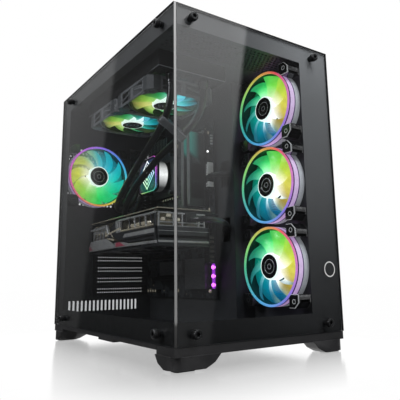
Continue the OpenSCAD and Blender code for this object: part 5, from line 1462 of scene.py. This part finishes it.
# how far a point lies outside the case's footprint
reach = n.length(*(n.math("MAXIMUM", n.math("SUBTRACT", n.math("ABSOLUTE", value), half), 0.0)
                   for value, half in ((x, 0.13), (y, 0.20))))
n.set(Base_Color=(1, 1, 1, 1), Metallic=1.0, Roughness=0.16)
paper = n.node("Emission", Strength=1.0)
n.link(n.ramp(n.noise(n.coords(), 40), greys([(0.3, 0.99), (0.7, 1)])), paper.inputs["Color"])
n.mix_out(n.spread(reach, 0.0, 0.18, 0.58, 0.0), paper)
floor = new_object("floor", mesh, n.mat)
floor.visible_glossy = False

# a white backdrop for the camera, and a dim studio with two pale flats that the glass mirrors
world = bpy.data.worlds.new("studio")
bpy.context.scene.world = world
n = Nodes("studio", world)
direction = n.node("TexCoord").outputs["Generated"]


def towards(axis):
    """How far the direction points along an axis, from -1 to 1."""
    made = n.node("VectorMath")
    made.operation = "DOT_PRODUCT"
    made.inputs[1].default_value = axis
    n.link(direction, made.inputs[0])
    return made.outputs["Value"]


def flat(upper, lower, inside, centre, reach, low_light, high_light):
    """A pale flat: its one sharp edge runs through two directions, and it brightens upwards."""
    edge = Vector(upper).cross(Vector(lower)).normalized()
    if edge.dot(Vector(inside)) < 0:
        edge.negate()
    lit = n.spread(towards(edge), -0.004, 0.004, 0.0, 1.0)
    near = n.spread(towards(Vector(centre).normalized()), reach - 0.1, reach, 0.0, 1.0)
    rise = n.spread(towards((0, 0, 1)), -0.1, 0.42, 0.0, 1.0)
    height = n.spread(n.math("POWER", rise, 2.6), 0.0, 1.0, low_light, high_light)
    return n.math("MULTIPLY", n.math("MULTIPLY", lit, near), height)


front_flat = flat((0.407, -0.499, 0.302), (0.348, -0.499, -0.047), (0.30, -0.50, 0.10),
                  (0.45, -0.85, 0.25), 0.80, 0.15, 1.95)
left_flat = flat((-0.295, 0.675, 0.361), (-0.295, 0.795, -0.024), (-0.295, 0.90, 0.10),
                 (-0.30, 0.90, 0.15), 0.85, 0.06, 0.26)
studio = n.math("ADD", n.math("ADD", front_flat, left_flat),
                n.spread(towards((0, 0, 1)), -0.1, 0.6, 0.015, 0.10))
light_path = n.node("LightPath")
# behind the case, what the polished floor mirrors is as white as the backdrop
behind = n.math("MULTIPLY", *(n.spread(towards(axis), 0.0, 0.05, 0.0, 1.0)
                              for axis in ((1, 0, 0), (0, 1, 0))))
studio = n.math("ADD", studio, n.math("MULTIPLY", behind, light_path.outputs["Is Glossy Ray"]))
choose = n.node("Mix")
choose.data_type = "FLOAT"
for place, value in ((0, light_path.outputs["Is Camera Ray"]), (2, studio), (3, 1.0)):
    n.link(value, choose.inputs[place])
background = n.tree.nodes["Background"].inputs
n.link((1, 1, 1), background["Color"])
n.link(choose.outputs[0], background["Strength"])


def softbox(name, place, target, size, power):
    data = bpy.data.lights.new(name, "AREA")
    data.shape = "RECTANGLE"
    data.size, data.size_y = size
    data.energy = power
    obj = bpy.data.objects.new(name, data)
    bpy.context.scene.collection.objects.link(obj)
    obj.location = place
    obj.rotation_euler = (Vector(target) - Vector(place)).to_track_quat("-Z", "Y").to_euler()
    return obj


softbox("key_above_front", (0.1, -1.1, 1.5), (0, 0, 0.25), (1.2, 0.9), 34).visible_glossy = False
softbox("fill_left", (-1.6, -0.1, 1.2), (0, 0, 0.25), (1.0, 1.0), 34)
softbox("overhead", (0.1, 0.1, 1.7), (0, 0, 0), (1.6, 1.6), 18)
softbox("back_fill", (0.9, 1.3, 1.0), (0, 0, 0.25), (1.0, 1.0), 12)

azimuth, elevation, roll = (math.radians(a) for a in (-34.54, -10.97, -0.90))
back = Vector((math.sin(azimuth) * math.cos(elevation), -math.cos(azimuth) * math.cos(elevation),
               math.sin(elevation)))
right = Vector((0, 0, 1)).cross(back).normalized()
up = back.cross(right)
turned = (right * math.cos(roll) + up * math.sin(roll),
          -right * math.sin(roll) + up * math.cos(roll))
camera_data = bpy.data.cameras.new("camera")
camera_data.lens, camera_data.sensor_width = 44.157, 36.0
camera_data.shift_x, camera_data.shift_y = -0.0189, -0.0379
camera_data.clip_start, camera_data.clip_end = 0.01, 60
camera = bpy.data.objects.new("camera", camera_data)
bpy.context.scene.collection.objects.link(camera)
camera.matrix_world = local_frame((-433.23, -715.82, 103.32), *turned, back)
bpy.context.scene.camera = camera
bpy.context.scene.view_settings.view_transform = "Standard"
